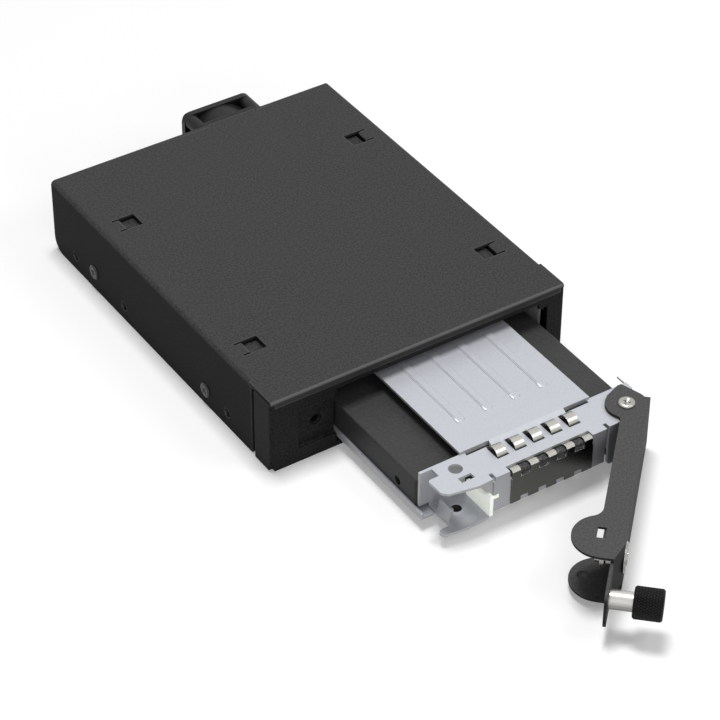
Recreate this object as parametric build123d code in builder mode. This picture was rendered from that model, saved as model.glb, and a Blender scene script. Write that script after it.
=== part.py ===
import os
from math import cos, radians, sin

from build123d import *

os.makedirs("parts", exist_ok=True)

# Hard drive mobile rack, drawn with the tray pulled out and the lever half open.
# X runs to the right, Y from the front panel to the rear, Z up.
# The origin is in the middle of the front face, at the height of the underside.

# Fits
run_gap = 0.3
pin_gap = 0.1
screw_gap = 0.05
sheet_gap = 0.1
notch_gap = 0.2
port_gap = 0.2

# Housing
housing_width = 101.6
housing_height = 25.4
housing_depth = 128.0
cover_sheet = 1.0
cover_bend = 0.4
cover_side_front = 10.8
cover_rear_corner = 5.0
lip_height = 2.5
lip_end_relief = 1.3
pan_sheet = 1.0
pan_flange_height = 12.0
pan_corner = 3.0
rear_sheet = 1.0
rear_panel_corner = 2.0
notch_tab_height = 4.0

# Holes in the side walls for the bay screws, and the screws that hold cover and pan
bay_hole_r = 1.5
bay_hole_z = 5.0
bay_hole_front = 24.5
bay_hole_pitch_front = 60.0
bay_hole_pitch_rear = 30.0
side_screw_r = 1.25
side_screw_head_r = 2.4
side_screw_head = 0.5
side_screw_tail = 1.5
side_screw_front = (36.6, 5.3)
side_screw_rear = (102.7, 6.4)

# Four windows in the cover with a tab bent down from the outer edge of each
window_x = 40.85
window_width = 5.5
window_length = 6.2
window_front_y = 25.55
window_pitch = 70.85
slit_width = 0.7
slit_reach = 2.1
tab_drop = 4.2
tab_sheet = 0.8

# Tabs of the rear panel in the notches of the cover
notch_depth = 1.0
notch_left_x = 0.35
notch_left_width = 9.7
notch_right_x = 25.6
notch_right_width = 6.0

# Front panel
panel_sheet = 1.0
panel_overhang = 0.3
panel_bottom = 0.1
return_depth = 8.7
opening_bottom = 1.7
opening_top = 21.3
opening_step_top = 19.6
opening_step_width = 3.1
opening_left_gap = 0.35
opening_right_gap = 2.05
recess_depth = 1.5
recess_reach = 12.9
recess_bottom = 4.6
recess_top = 18.7
recess_corner = 1.0
panel_relief_width = 2.4
panel_relief_height = 2.2
panel_relief_depth = 0.4
lock_hole_r = 2.0
lock_nut_across = 6.4
lock_nut_height = 2.4

# Drive
drive_width = 70.1
drive_length = 100.0
drive_height = 9.5
drive_x = 7.1
drive_front = -38.9
drive_corner = 1.2
drive_hole_r = 1.5
drive_hole_inset = 4.07
drive_hole_rear = 14.0
drive_hole_pitch = 76.6
drive_side_hole_z = 3.0
drive_hole_depth = 3.0
drive_side_hole_depth = 2.5
drive_top_edge = 0.5
plug_pocket_x = -4.0
plug_pocket_width = 36.0
plug_pocket_height = 5.0
plug_pocket_depth = 5.0
plug_pocket_lift = 0.5
plug_tongue = 1.2
plug_tongue_length = 4.5
plug_signal_width = 10.0
plug_power_width = 21.0
plug_tongue_inset = 1.5
plug_gap = 0.4

# Tray base, insulating sheet and gap pad
rail_shelf_z = 2.3
rail_sheet = 0.8
rail_top = 17.2
rail_side_gap = 0.4
rail_end_room = 8.0
rail_corner = 2.0
shelf_front = 16.0
shelf_reach = 1.95
shelf_corner = 1.5
left_rail_foot = 7.0
right_rail_gap = 0.5
right_rail_front = 4.8
right_rail_lift = 0.2
guide_rib_gap = 0.45
guide_rib_height = 1.4
tray_sheet = 0.8
tray_lip = 2.0
tray_rear_inset = 1.1
tray_corner = 3.0
tray_horn_width = 4.3
tray_horn_length = 3.9
tray_slot_length = 44.0
tray_slot_width = 14.0
tray_slot_front = 25.0
tray_slot_pitch = 47.0
insulator = 0.8
insulator_inset = 0.5
insulator_rear_gap = 1.0
insulator_hole_room = 1.0
gap_pad_height = 3.1
gap_pad_inset = 3.0
gap_pad_end = 6.0
tray_screw_head_r = 2.5
tray_screw_head = 0.6
tray_screw_reach = 2.5

# Bracket
bracket_sheet = 0.8
bracket_left_inset = 0.45
bracket_right_reach = 2.15
flange_depth = 13.5
bracket_front_limit = 13.85
front_wall_left = -11.3
front_wall_right = 27.1
front_wall_bottom = 5.4
front_wall_cut_left = -6.0
front_wall_cut_right = 22.4
front_wall_cut_depth = 2.3
front_wall_top = 14.9
relief_width = 1.1
tongue_x = 8.6
tongue_width = 44.8
tongue_length = 79.0
tongue_neck_left = -4.0
tongue_neck_right = 21.8
rib_width = 2.7
rib_height = 0.35
rib_pitch = 9.55
rib_front = 10.5
rear_wall_left_end = -12.0
rear_wall_right_start = 31.0
foot_length = 4.9
foot_width = 7.0
foot_left_inset = 9.0
foot_right_inset = 6.0
wall_gap = 0.1
step_gap = 0.3
left_neck_width = 3.9
left_neck_front = 4.3
left_nose_front = 10.6
left_nose_corner = 1.5
hole_inset = 9.45
hole_front = 4.35
hole_r = 2.05
lock_slot_length = 4.3
lock_slot_width = 2.1
lock_slot_shift = 0.4
relief_front = 11.3
side_wall_width = 4.6
side_wall_corner = 1.2
side_wall_setback = 0.4
joggle_depth = 0.7
tongue_corner = 3.0
neck_relief_width = 8.2
neck_relief_depth = 1.2
hook_inset = 3.5
hook_reach = 4.0
hook_drop = 1.3
hook_hole_r = 1.6
hook_hole_inset = 5.7
flap_front = 4.1
flap_length = 5.5
flap_height = 4.6
flap_lean = 1.2

# Finger strip
strip_sheet = 0.3
finger_pitch = 6.18
finger_width = 3.35
finger_slot_front = -46.2
finger_slot_rear = -40.3
finger_rise = 1.6
finger_side_gap = 0.3
finger_side_margin = 1.5
finger_end_room = 0.9
finger_seat = 0.5
finger_tab_rise = 0.5
finger_tab_width = 2.8
face_plate_bottom = 5.6
face_plate_top = 14.4
lug_height = 1.5

# Light pipe
pipe_width = 1.1
pipe_height = 7.1
pipe_fall = 1.9
pipe_reach = 13.7
pipe_back_gap = 2.2
pipe_nub = 1.2
pipe_nub_sheet = 0.18
pipe_nub_length = 1.8

# Leaf spring at the right end of the flange
leaf_bottom = 11.0
leaf_foot = 2.8
leaf_proud = 0.2
leaf_rear = 4.2

# Lever, drawn about its pivot: u runs along the arm, v away from the tray
lever_sheet = 0.8
lever_wall = 0.9
lever_angle = 46.0
pivot_inset = 5.15
pivot_ahead = 8.7
pivot_r = 1.95
pivot_post_r = 2.75
pivot_head_r = 2.5
pivot_head = 0.8
pivot_thread_r = 1.0
pivot_thread = 3.5
rivet_head = 0.25
washer = 0.3
washer_r = 4.2
head_r = 6.2
arm_inner = 1.0
arm_outer = 6.4
arm_length = 65.0
wall_start = 4.1
lobe_u = 56.5
lobe_r = 8.45
joggle_start = 58.5
tab_outer = 4.1
tab_length = 13.0
tab_bottom = 5.0
tab_top = 17.2
cam_slot_length = 4.3
cam_slot_width = 2.4
cam_slot_back = 0.8
cam_slot_v = -0.4
low_hole_r = 1.75
low_hole_v = -4.5
tab_corner = 2.0
hook_notch_start = 59.0
hook_notch_height = 1.6
tray_in_travel = 51.9

# Key lock in the arm
lock_u = 55.9
lock_z = 11.6
lock_face_r = 4.4
lock_barrel_r = 3.0
lock_barrel_inner = 1.5
lock_plug_r = 2.3
cam_r = 3.3
cam_thickness = 1.2
cam_reach = 5.8
cam_tip_width = 2.0
cam_tip_corner = 0.6
cam_mid = 0.4
cam_stub_r = 1.2
cam_stub_tail = 0.6
cam_nut_half = 2.2
cam_nut_height = 1.4
lock_flange = 0.6
lock_plug_proud = 0.15
key_slot_width = 0.8
key_slot_height = 3.0
key_slot_depth = 2.5

# Thumbscrew
screw_u = 72.8
screw_r = 1.5
ferrule_r = 2.75
ferrule_bore_r = 2.3
ferrule_length = 6.9
ferrule_floor = 0.7
knob_r = 4.5
knob_length = 8.1
knob_bore_r = 3.05
knob_bore_depth = 4.7
knob_overlap = 0.4
knob_chamfer = 0.4
knob_stub_r = 1.2
knob_stub = 2.0
small_washer = 0.5
small_washer_back = 0.8
collar_r = 2.0

# Backplane
board_y = 118.0
board_thickness = 1.6
board_left = -46.0
board_right = 46.0
board_bottom = 3.0
board_height = 19.0
board_corner = 1.0
board_slot_x = 25.0
board_slot_z = 12.5
board_slot_pitch = 8.0
board_slot_length = 6.0
board_slot_width = 3.0
standoff_r = 2.2
standoff_x = 40.0
standoff_low = 5.5
standoff_pitch = 13.0
board_screw_r = 1.3
board_screw_head = 1.0
board_screw_tail = 3.0
panel_screw_head = 1.2
panel_screw_tail = 2.5
receptacle_corner = 0.5
port_wall = 1.0
port_proud = 0.6
port_mouth_depth = 5.5
port_height = 6.0
port_z = 11.0
power_port_x = -31.5
power_port_width = 20.0
signal_port_x = -12.5
signal_port_width = 11.0

# Fan
fan_size = 25.0
fan_depth = 10.0
fan_x = 14.2
fan_z = 12.7
fan_bore_r = 11.3
fan_corner_r = 3.0
fan_flange = 2.0
fan_wall = 0.9
fan_spider = 1.8
fan_arm_width = 1.6
fan_arm_turn = 35
fan_hole_pitch = 20.0
fan_hole_r = 1.4
fan_blades = 7
fan_hub_r = 5.6
fan_hub_corner = 0.6
fan_hub_room = 1.0
fan_chord = 5.4
fan_tip_chord = 6.2
fan_blade_root = 0.9
fan_blade_tip = 0.7
fan_root_pitch = 48
fan_tip_pitch = 30
fan_root_sink = 0.8
fan_tip_short = 0.5
fan_tip_gap = 0.5
fan_shaft_r = 0.8
fan_shaft_seat = 3.0
fan_shaft_tail = 1.5
fan_screw_head_r = 1.9
fan_screw_head = 1.0
panel_fan_hole_r = 11.0

# Places that follow from the sizes above
half_width = housing_width / 2
wall_inner = half_width - cover_sheet
cover_under = housing_height - cover_sheet
lip_bottom = housing_height - lip_height
rear_inner = housing_depth - rear_sheet
drive_left = drive_x - drive_width / 2
drive_right = drive_x + drive_width / 2
drive_rear = drive_front + drive_length
tray_left = drive_left - tray_sheet
tray_right = drive_right + tray_sheet
tray_z = rail_shelf_z + rail_sheet + run_gap
tray_top = tray_z + tray_sheet
drive_z = tray_top + insulator
drive_top = drive_z + drive_height
flange_top = drive_top + gap_pad_height
flange_under = flange_top - bracket_sheet
tongue_top = flange_top + bracket_sheet
opening_left = tray_left - opening_left_gap
opening_right = tray_right + opening_right_gap
recess_left = opening_left - recess_reach
pivot_x = tray_right - pivot_inset
pivot_y = drive_front - pivot_ahead
upper_plate_z = flange_top + washer
lower_plate_z = tray_z - washer - lever_sheet
lever_top = upper_plate_z + lever_sheet
bracket_left = drive_left + bracket_left_inset
bracket_right = drive_right + bracket_right_reach
flange_front = drive_front - flange_depth
bracket_limit = drive_front - bracket_front_limit
tongue_front = drive_front - 0.2
lock_hole_x = pivot_x - screw_u
lock_hole_z = lock_z
bay_hole_ys = (
    bay_hole_front,
    bay_hole_front + bay_hole_pitch_front,
    bay_hole_front + bay_hole_pitch_front + bay_hole_pitch_rear,
)
finger_xs = [tongue_x - 0.1 + finger_pitch * k for k in (-2, -1, 0, 1, 2)]
window_ys = (window_front_y, window_front_y + window_pitch)
drive_hole_ys = (drive_rear - drive_hole_rear, drive_rear - drive_hole_rear - drive_hole_pitch)
drive_hole_xs = (drive_left + drive_hole_inset, drive_right - drive_hole_inset)


def lever_plan(height):
    """Plan plane of the lever: local x is u, local y is v."""
    turn = radians(lever_angle)
    return Plane(
        origin=(pivot_x, pivot_y, height),
        x_dir=(-cos(turn), -sin(turn), 0),
        z_dir=(0, 0, 1),
    )


def lever_side(v):
    """Plane across the lever at a distance v: local x is -u, local y is height."""
    turn = radians(lever_angle)
    return Plane(
        origin=(pivot_x + v * sin(turn), pivot_y - v * cos(turn), 0),
        x_dir=(cos(turn), sin(turn), 0),
        z_dir=(sin(turn), -cos(turn), 0),
    )


# Top cover: a bent channel whose top runs on to the front and folds down to a lip
with BuildPart() as top_cover:
    with BuildSketch(Plane.XZ.offset(-cover_side_front)) as cover_outer:
        with Locations((0, housing_height / 2)):
            Rectangle(housing_width, housing_height)
        fillet(cover_outer.vertices().group_by(Axis.Y)[-1], cover_bend + cover_sheet)
    extrude(amount=cover_side_front - housing_depth)
    with BuildSketch(Plane.XZ.offset(-cover_side_front)) as cover_inner:
        with Locations((0, cover_under / 2)):
            Rectangle(2 * wall_inner, cover_under)
        fillet(cover_inner.vertices().group_by(Axis.Y)[-1], cover_bend)
    extrude(amount=cover_side_front - housing_depth, mode=Mode.SUBTRACT)
    with BuildSketch(Plane.YZ.offset(-half_width)) as cover_front:
        with BuildLine():
            Polyline(
                (cover_side_front + 1.0, cover_under),
                (cover_side_front + 1.0, housing_height),
                (0, housing_height),
                (0, lip_bottom),
                (cover_sheet, lip_bottom),
                (cover_sheet, cover_under),
                close=True,
            )
        make_face()
        fold = cover_front.vertices().sort_by_distance((0, housing_height))[0]
        fillet(fold, cover_bend + cover_sheet / 2)
    extrude(amount=housing_width)
    # the lip stops short of the corners
    with BuildSketch(Plane.XZ.offset(1.0)) as lip_ends:
        with Locations((half_width, lip_bottom), (-half_width, lip_bottom)):
            Rectangle(2 * lip_end_relief, 2 * (cover_under - lip_bottom))
    extrude(amount=-1.0 - cover_sheet, mode=Mode.SUBTRACT)
    # windows with a slit on both sides of each tab
    with BuildSketch(Plane.XY.offset(cover_under - 0.5)) as windows:
        for side in (-1, 1):
            for y in window_ys:
                with Locations((side * window_x, y)):
                    Rectangle(window_width, window_length)
                slit_x = side * (window_x + (window_width + slit_reach) / 2)
                for end in (-1, 1):
                    with Locations((slit_x, y + end * (window_length - slit_width) / 2)):
                        Rectangle(slit_reach, slit_width)
    extrude(amount=cover_sheet + 1.0, mode=Mode.SUBTRACT)
    for side in (-1, 1):
        for y in window_ys:
            tab_x = side * (window_x + window_width / 2 + tab_sheet / 2 - 0.4)
            with BuildSketch(Plane.XY.offset(housing_height - 0.3)):
                with Locations((tab_x, y)):
                    Rectangle(tab_sheet, window_length - 2 * slit_width)
            extrude(amount=-tab_drop - cover_sheet)
    # notches in the rear edge
    with BuildSketch(Plane.XY.offset(cover_under - 0.5)) as notches:
        with Locations((notch_left_x, housing_depth)):
            Rectangle(notch_left_width, 2 * notch_depth)
        with Locations((notch_right_x, housing_depth)):
            Rectangle(notch_right_width, 2 * notch_depth)
    extrude(amount=cover_sheet + 1.0, mode=Mode.SUBTRACT)
    # bay holes and screw holes through both walls
    with BuildSketch(Plane.YZ.offset(-half_width)) as cover_holes:
        with Locations(*[(y, bay_hole_z) for y in bay_hole_ys]):
            Circle(bay_hole_r)
        with Locations(side_screw_front, side_screw_rear):
            Circle(side_screw_r + screw_gap)
    extrude(amount=housing_width, mode=Mode.SUBTRACT)
    rear_corners = (
        top_cover.edges()
        .filter_by(Axis.X)
        .filter_by_position(Axis.Z, -0.01, 0.01)
        .filter_by_position(Axis.Y, housing_depth - 0.01, housing_depth + 0.01)
    )
    fillet(rear_corners, cover_rear_corner)
top_cover.part.label = "top_cover"
export_step(top_cover.part, "parts/top_cover.step")

# Base pan: floor with a flange inside each side wall
pan_inner = wall_inner - pan_sheet
with BuildPart() as base_pan:
    with BuildSketch(Plane.XZ.offset(-panel_sheet)) as pan_outer:
        with Locations((0, pan_flange_height / 2)):
            Rectangle(2 * wall_inner, pan_flange_height)
        with Locations((0, pan_flange_height / 2 + pan_sheet)):
            Rectangle(2 * pan_inner, pan_flange_height, mode=Mode.SUBTRACT)
    extrude(amount=panel_sheet - rear_inner)
    with BuildSketch(Plane.YZ.offset(-half_width)) as pan_holes:
        with Locations(*[(y, bay_hole_z) for y in bay_hole_ys]):
            Circle(bay_hole_r)
        with Locations(side_screw_front, side_screw_rear):
            Circle(side_screw_r + screw_gap)
    extrude(amount=housing_width, mode=Mode.SUBTRACT)
    pan_corners = (
        base_pan.edges()
        .filter_by(Axis.X)
        .filter_by_position(Axis.Z, pan_flange_height - 0.01, pan_flange_height + 0.01)
    )
    fillet(pan_corners, pan_corner)
base_pan.part.label = "base_pan"
export_step(base_pan.part, "parts/base_pan.step")

# Side screws, two on each side
with BuildPart() as side_screws:
    for side in (-1, 1):
        for y, z in (side_screw_front, side_screw_rear):
            seat = Plane(
                origin=(side * half_width, y, z),
                x_dir=(0, 1, 0),
                z_dir=(side, 0, 0),
            )
            with BuildSketch(seat):
                Circle(side_screw_head_r)
            extrude(amount=side_screw_head, taper=35)
            with BuildSketch(seat):
                Circle(side_screw_r)
            extrude(amount=-cover_sheet - pan_sheet - side_screw_tail)
side_screws.part.label = "side_screws"
export_step(side_screws.part, "parts/side_screws.step")

# Front panel: folded sheet with side returns, the tray opening and a pressed recess
panel_half = half_width + panel_overhang
panel_top = lip_bottom - sheet_gap
return_top = cover_under - 2 * sheet_gap
with BuildPart() as front_panel:
    with BuildSketch(Plane.XY.offset(panel_bottom)) as panel_plan:
        with Locations((0, return_depth / 2)):
            Rectangle(2 * panel_half, return_depth)
        fillet(panel_plan.vertices().group_by(Axis.Y)[0], panel_sheet)
        with Locations((0, panel_sheet + return_depth / 2)):
            Rectangle(2 * (panel_half - panel_sheet), return_depth, mode=Mode.SUBTRACT)
    extrude(amount=return_top - panel_bottom)
    # the face ends below the lip of the cover
    with BuildSketch(Plane.XZ.offset(1.0)) as panel_head:
        with Locations((0, panel_top + 2.5)):
            Rectangle(2 * (half_width - lip_end_relief), 5.0)
    extrude(amount=-1.0 - panel_sheet, mode=Mode.SUBTRACT)
    # recess for the end of the lever
    with BuildSketch(Plane.XZ) as recess_boss:
        with Locations((recess_left - panel_sheet, recess_bottom - panel_sheet)):
            Rectangle(
                recess_reach + panel_sheet,
                recess_top - recess_bottom + 2 * panel_sheet,
                align=(Align.MIN, Align.MIN),
            )
        fillet(recess_boss.vertices().group_by(Axis.X)[0], recess_corner + panel_sheet)
    extrude(amount=-recess_depth - panel_sheet)
    with BuildSketch(Plane.XZ) as recess_pocket:
        with Locations((recess_left, recess_bottom)):
            Rectangle(
                recess_reach,
                recess_top - recess_bottom,
                align=(Align.MIN, Align.MIN),
            )
        fillet(recess_pocket.vertices().group_by(Axis.X)[0], recess_corner)
    extrude(amount=-recess_depth, mode=Mode.SUBTRACT)
    with BuildSketch(Plane.XZ) as lock_hole:
        with Locations((lock_hole_x, lock_hole_z)):
            Circle(lock_hole_r)
    extrude(amount=-recess_depth - panel_sheet, mode=Mode.SUBTRACT)
    # opening for the tray, a little lower over the nose of the lever
    with BuildSketch(Plane.XZ) as opening:
        with BuildLine():
            Polyline(
                (opening_left, opening_bottom),
                (opening_right, opening_bottom),
                (opening_right, opening_step_top),
                (opening_right - opening_step_width, opening_step_top),
                (opening_right - opening_step_width, opening_top),
                (opening_left, opening_top),
                close=True,
            )
        make_face()
    extrude(amount=-recess_depth - panel_sheet, mode=Mode.SUBTRACT)
    # corner reliefs at the bottom of the returns
    with BuildSketch(Plane.XZ.offset(1.0)) as reliefs:
        with Locations((panel_half, panel_bottom), (-panel_half, panel_bottom)):
            Rectangle(panel_relief_width, panel_relief_height)
    extrude(amount=-1.0 - panel_sheet - panel_relief_depth, mode=Mode.SUBTRACT)
front_panel.part.label = "front_panel"
export_step(front_panel.part, "parts/front_panel.step")

# Nut behind the recess that takes the thumbscrew
with BuildPart() as lock_nut:
    with BuildSketch(Plane.XZ.offset(-recess_depth - panel_sheet)) as nut_plan:
        with Locations((lock_hole_x, lock_hole_z)):
            RegularPolygon(lock_nut_across / 2, 6, major_radius=False)
            Circle(screw_r + pin_gap, mode=Mode.SUBTRACT)
    extrude(amount=-lock_nut_height)
lock_nut.part.label = "lock_nut"
export_step(lock_nut.part, "parts/lock_nut.step")

# Rear panel with the fan hole, the port cut-outs and the tabs in the cover's notches
power_port = (power_port_x, port_z)
signal_port = (signal_port_x, port_z)
rear_half = wall_inner - sheet_gap
rear_top = cover_under - sheet_gap
standoff_spots = [
    (side * standoff_x, standoff_low + row * standoff_pitch)
    for side in (-1, 1)
    for row in (0, 1)
]
fan_spots = [
    (fan_x + a * fan_hole_pitch / 2, fan_z + b * fan_hole_pitch / 2)
    for a in (-1, 1)
    for b in (-1, 1)
]
with BuildPart() as rear_panel:
    with BuildSketch(Plane.XZ.offset(-rear_inner)) as rear_face:
        with Locations((0, rear_top / 2)):
            Rectangle(2 * rear_half, rear_top)
        fillet(rear_face.vertices().group_by(Axis.Y)[-1], rear_panel_corner)
        with Locations((notch_left_x, housing_height)):
            Rectangle(
                notch_left_width - 2 * notch_gap,
                notch_tab_height,
                align=(Align.CENTER, Align.MAX),
            )
        with Locations((notch_right_x, housing_height)):
            Rectangle(
                notch_right_width - 2 * notch_gap,
                notch_tab_height,
                align=(Align.CENTER, Align.MAX),
            )
        with Locations((fan_x, fan_z)):
            Circle(panel_fan_hole_r, mode=Mode.SUBTRACT)
        with Locations(*fan_spots):
            Circle(fan_hole_r, mode=Mode.SUBTRACT)
        with Locations(*standoff_spots):
            Circle(board_screw_r + screw_gap, mode=Mode.SUBTRACT)
        with Locations(power_port):
            Rectangle(
                power_port_width + 2 * port_gap,
                port_height + 2 * port_gap,
                mode=Mode.SUBTRACT,
            )
        with Locations(signal_port):
            Rectangle(
                signal_port_width + 2 * port_gap,
                port_height + 2 * port_gap,
                mode=Mode.SUBTRACT,
            )
    extrude(amount=-rear_sheet)
rear_panel.part.label = "rear_panel"
export_step(rear_panel.part, "parts/rear_panel.step")

# Guide rails beside the tray, with a shelf under its edge and a foot on the floor
rail_front = recess_depth + panel_sheet + run_gap
rail_rear = board_y - rail_end_room
left_rail_x = tray_left - rail_side_gap
with BuildPart() as left_guide_rail:
    with BuildSketch(Plane.XZ.offset(-rail_front)) as left_section:
        with BuildLine():
            Polyline(
                (left_rail_x, rail_top),
                (left_rail_x - rail_sheet, rail_top),
                (left_rail_x - rail_sheet, pan_sheet + rail_sheet),
                (left_rail_x - left_rail_foot, pan_sheet + rail_sheet),
                (left_rail_x - left_rail_foot, pan_sheet),
                (left_rail_x, pan_sheet),
                close=True,
            )
        make_face()
    extrude(amount=rail_front - rail_rear)
    with BuildSketch(Plane.XY.offset(rail_shelf_z)) as left_shelf:
        with Locations((left_rail_x - rail_sheet, shelf_front)):
            Rectangle(
                rail_sheet + rail_side_gap + shelf_reach,
                rail_rear - shelf_front,
                align=(Align.MIN, Align.MIN),
            )
        fillet(left_shelf.vertices().group_by(Axis.X)[-1], shelf_corner)
    extrude(amount=rail_sheet)
    left_nose = left_guide_rail.edges().filter_by(Axis.X).group_by(Axis.Z)[-1]
    fillet(left_nose, rail_corner)
left_guide_rail.part.label = "left_guide_rail"
export_step(left_guide_rail.part, "parts/left_guide_rail.step")

right_rail_x = opening_right + right_rail_gap
guide_rib_x = tray_right + guide_rib_gap
guide_rib_top = tray_top + guide_rib_height
with BuildPart() as right_guide_rail:
    with BuildSketch(Plane.YZ.offset(right_rail_x)) as right_wall:
        with BuildLine():
            Polyline(
                (right_rail_front, tray_z + right_rail_lift),
                (shelf_front, tray_z + right_rail_lift),
                (shelf_front, pan_sheet),
                (rail_rear, pan_sheet),
                (rail_rear, rail_top),
                (right_rail_front, rail_top),
                close=True,
            )
        make_face()
    extrude(amount=rail_sheet)
    with BuildSketch(Plane.XY.offset(pan_sheet)) as right_foot:
        with Locations((right_rail_x, shelf_front)):
            Rectangle(
                pan_inner - right_rail_x,
                rail_rear - shelf_front,
                align=(Align.MIN, Align.MIN),
            )
    extrude(amount=rail_sheet)
    with BuildSketch(Plane.XZ.offset(-shelf_front)) as right_shelf:
        with BuildLine():
            Polyline(
                (tray_right - shelf_reach, rail_shelf_z),
                (right_rail_x + rail_sheet / 2, rail_shelf_z),
                (right_rail_x + rail_sheet / 2, rail_shelf_z + rail_sheet),
                (guide_rib_x + rail_sheet, rail_shelf_z + rail_sheet),
                (guide_rib_x + rail_sheet, guide_rib_top),
                (guide_rib_x, guide_rib_top),
                (guide_rib_x, rail_shelf_z + rail_sheet),
                (tray_right - shelf_reach, rail_shelf_z + rail_sheet),
                close=True,
            )
        make_face()
    extrude(amount=shelf_front - rail_rear)
right_guide_rail.part.label = "right_guide_rail"
export_step(right_guide_rail.part, "parts/right_guide_rail.step")

# Backplane board on four standoffs
board_rear = board_y + board_thickness
with BuildPart() as backplane_board:
    with BuildSketch(Plane.XZ.offset(-board_y)) as board_face:
        with Locations((board_left, board_bottom)):
            Rectangle(
                board_right - board_left,
                board_height,
                align=(Align.MIN, Align.MIN),
            )
        fillet(board_face.vertices(), board_corner)
        with Locations(*standoff_spots):
            Circle(board_screw_r + screw_gap, mode=Mode.SUBTRACT)
        with Locations((board_slot_x, board_slot_z)):
            with GridLocations(board_slot_pitch, board_slot_pitch, 2, 2):
                SlotOverall(board_slot_length, board_slot_width, mode=Mode.SUBTRACT)
    extrude(amount=-board_thickness)
backplane_board.part.label = "backplane_board"
export_step(backplane_board.part, "parts/backplane_board.step")

with BuildPart() as standoffs:
    with BuildSketch(Plane.XZ.offset(-board_rear)) as standoff_plan:
        with Locations(*standoff_spots):
            Circle(standoff_r)
            Circle(board_screw_r + screw_gap, mode=Mode.SUBTRACT)
    extrude(amount=board_rear - rear_inner)
standoffs.part.label = "standoffs"
export_step(standoffs.part, "parts/standoffs.step")

with BuildPart() as board_screws:
    with BuildSketch(Plane.XZ.offset(-board_y)) as board_heads:
        with Locations(*standoff_spots):
            Circle(standoff_r)
    extrude(amount=board_screw_head)
    with BuildSketch(Plane.XZ.offset(-board_y)) as board_shanks:
        with Locations(*standoff_spots):
            Circle(board_screw_r)
    extrude(amount=-board_thickness - board_screw_tail)
board_screws.part.label = "board_screws"
export_step(board_screws.part, "parts/board_screws.step")

with BuildPart() as panel_screws:
    with BuildSketch(Plane.XZ.offset(-housing_depth)) as panel_heads:
        with Locations(*standoff_spots):
            Circle(standoff_r)
    extrude(amount=-panel_screw_head, taper=12)
    with BuildSketch(Plane.XZ.offset(-housing_depth)) as panel_shanks:
        with Locations(*standoff_spots):
            Circle(board_screw_r)
    extrude(amount=rear_sheet + panel_screw_tail)
panel_screws.part.label = "panel_screws"
export_step(panel_screws.part, "parts/panel_screws.step")

# Connectors of the backplane: the receptacle for the drive and two ports to the rear
pocket_left = plug_pocket_x - plug_pocket_width / 2
pocket_z = drive_z + plug_pocket_lift
pocket_mid = pocket_z + plug_pocket_height / 2
signal_tongue_x = pocket_left + plug_tongue_inset + plug_signal_width / 2
power_tongue_x = pocket_left + plug_pocket_width - plug_tongue_inset - plug_power_width / 2
receptacle_front = drive_rear + tray_in_travel - plug_pocket_depth + plug_gap
with BuildPart() as drive_receptacle:
    with BuildSketch(Plane.XZ.offset(-board_y)) as receptacle_face:
        with Locations((plug_pocket_x, pocket_mid)):
            Rectangle(plug_pocket_width - 2 * plug_gap, plug_pocket_height - 2 * plug_gap)
        fillet(receptacle_face.vertices(), receptacle_corner)
    extrude(amount=board_y - receptacle_front)
    with BuildSketch(Plane.XZ.offset(-receptacle_front)) as receptacle_slots:
        with Locations((signal_tongue_x, pocket_mid)):
            Rectangle(plug_signal_width + 2 * plug_gap, plug_tongue + 2 * plug_gap)
        with Locations((power_tongue_x, pocket_mid)):
            Rectangle(plug_power_width + 2 * plug_gap, plug_tongue + 2 * plug_gap)
    extrude(amount=-plug_tongue_length - plug_gap, mode=Mode.SUBTRACT)
drive_receptacle.part.label = "drive_receptacle"
export_step(drive_receptacle.part, "parts/drive_receptacle.step")

with BuildPart() as power_port_body:
    with BuildSketch(Plane.XZ.offset(-board_rear)) as power_shell:
        with Locations(power_port):
            Rectangle(power_port_width, port_height)
    extrude(amount=board_rear - housing_depth - port_proud)
    with BuildSketch(Plane.XZ.offset(-housing_depth - port_proud)) as power_mouth:
        with Locations(power_port):
            Rectangle(power_port_width - 2 * port_wall, port_height - 2 * port_wall)
            Rectangle(power_port_width - 4 * port_wall, plug_tongue, mode=Mode.SUBTRACT)
    extrude(amount=port_mouth_depth, mode=Mode.SUBTRACT)
power_port_body.part.label = "power_port"
export_step(power_port_body.part, "parts/power_port.step")

with BuildPart() as signal_port_body:
    with BuildSketch(Plane.XZ.offset(-board_rear)) as signal_shell:
        with Locations(signal_port):
            Rectangle(signal_port_width, port_height)
    extrude(amount=board_rear - housing_depth - port_proud)
    with BuildSketch(Plane.XZ.offset(-housing_depth - port_proud)) as signal_mouth:
        with Locations(signal_port):
            Rectangle(signal_port_width - 2 * port_wall, port_height - 2 * port_wall)
            Rectangle(signal_port_width - 4 * port_wall, plug_tongue, mode=Mode.SUBTRACT)
    extrude(amount=port_mouth_depth, mode=Mode.SUBTRACT)
signal_port_body.part.label = "signal_port"
export_step(signal_port_body.part, "parts/signal_port.step")

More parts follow.
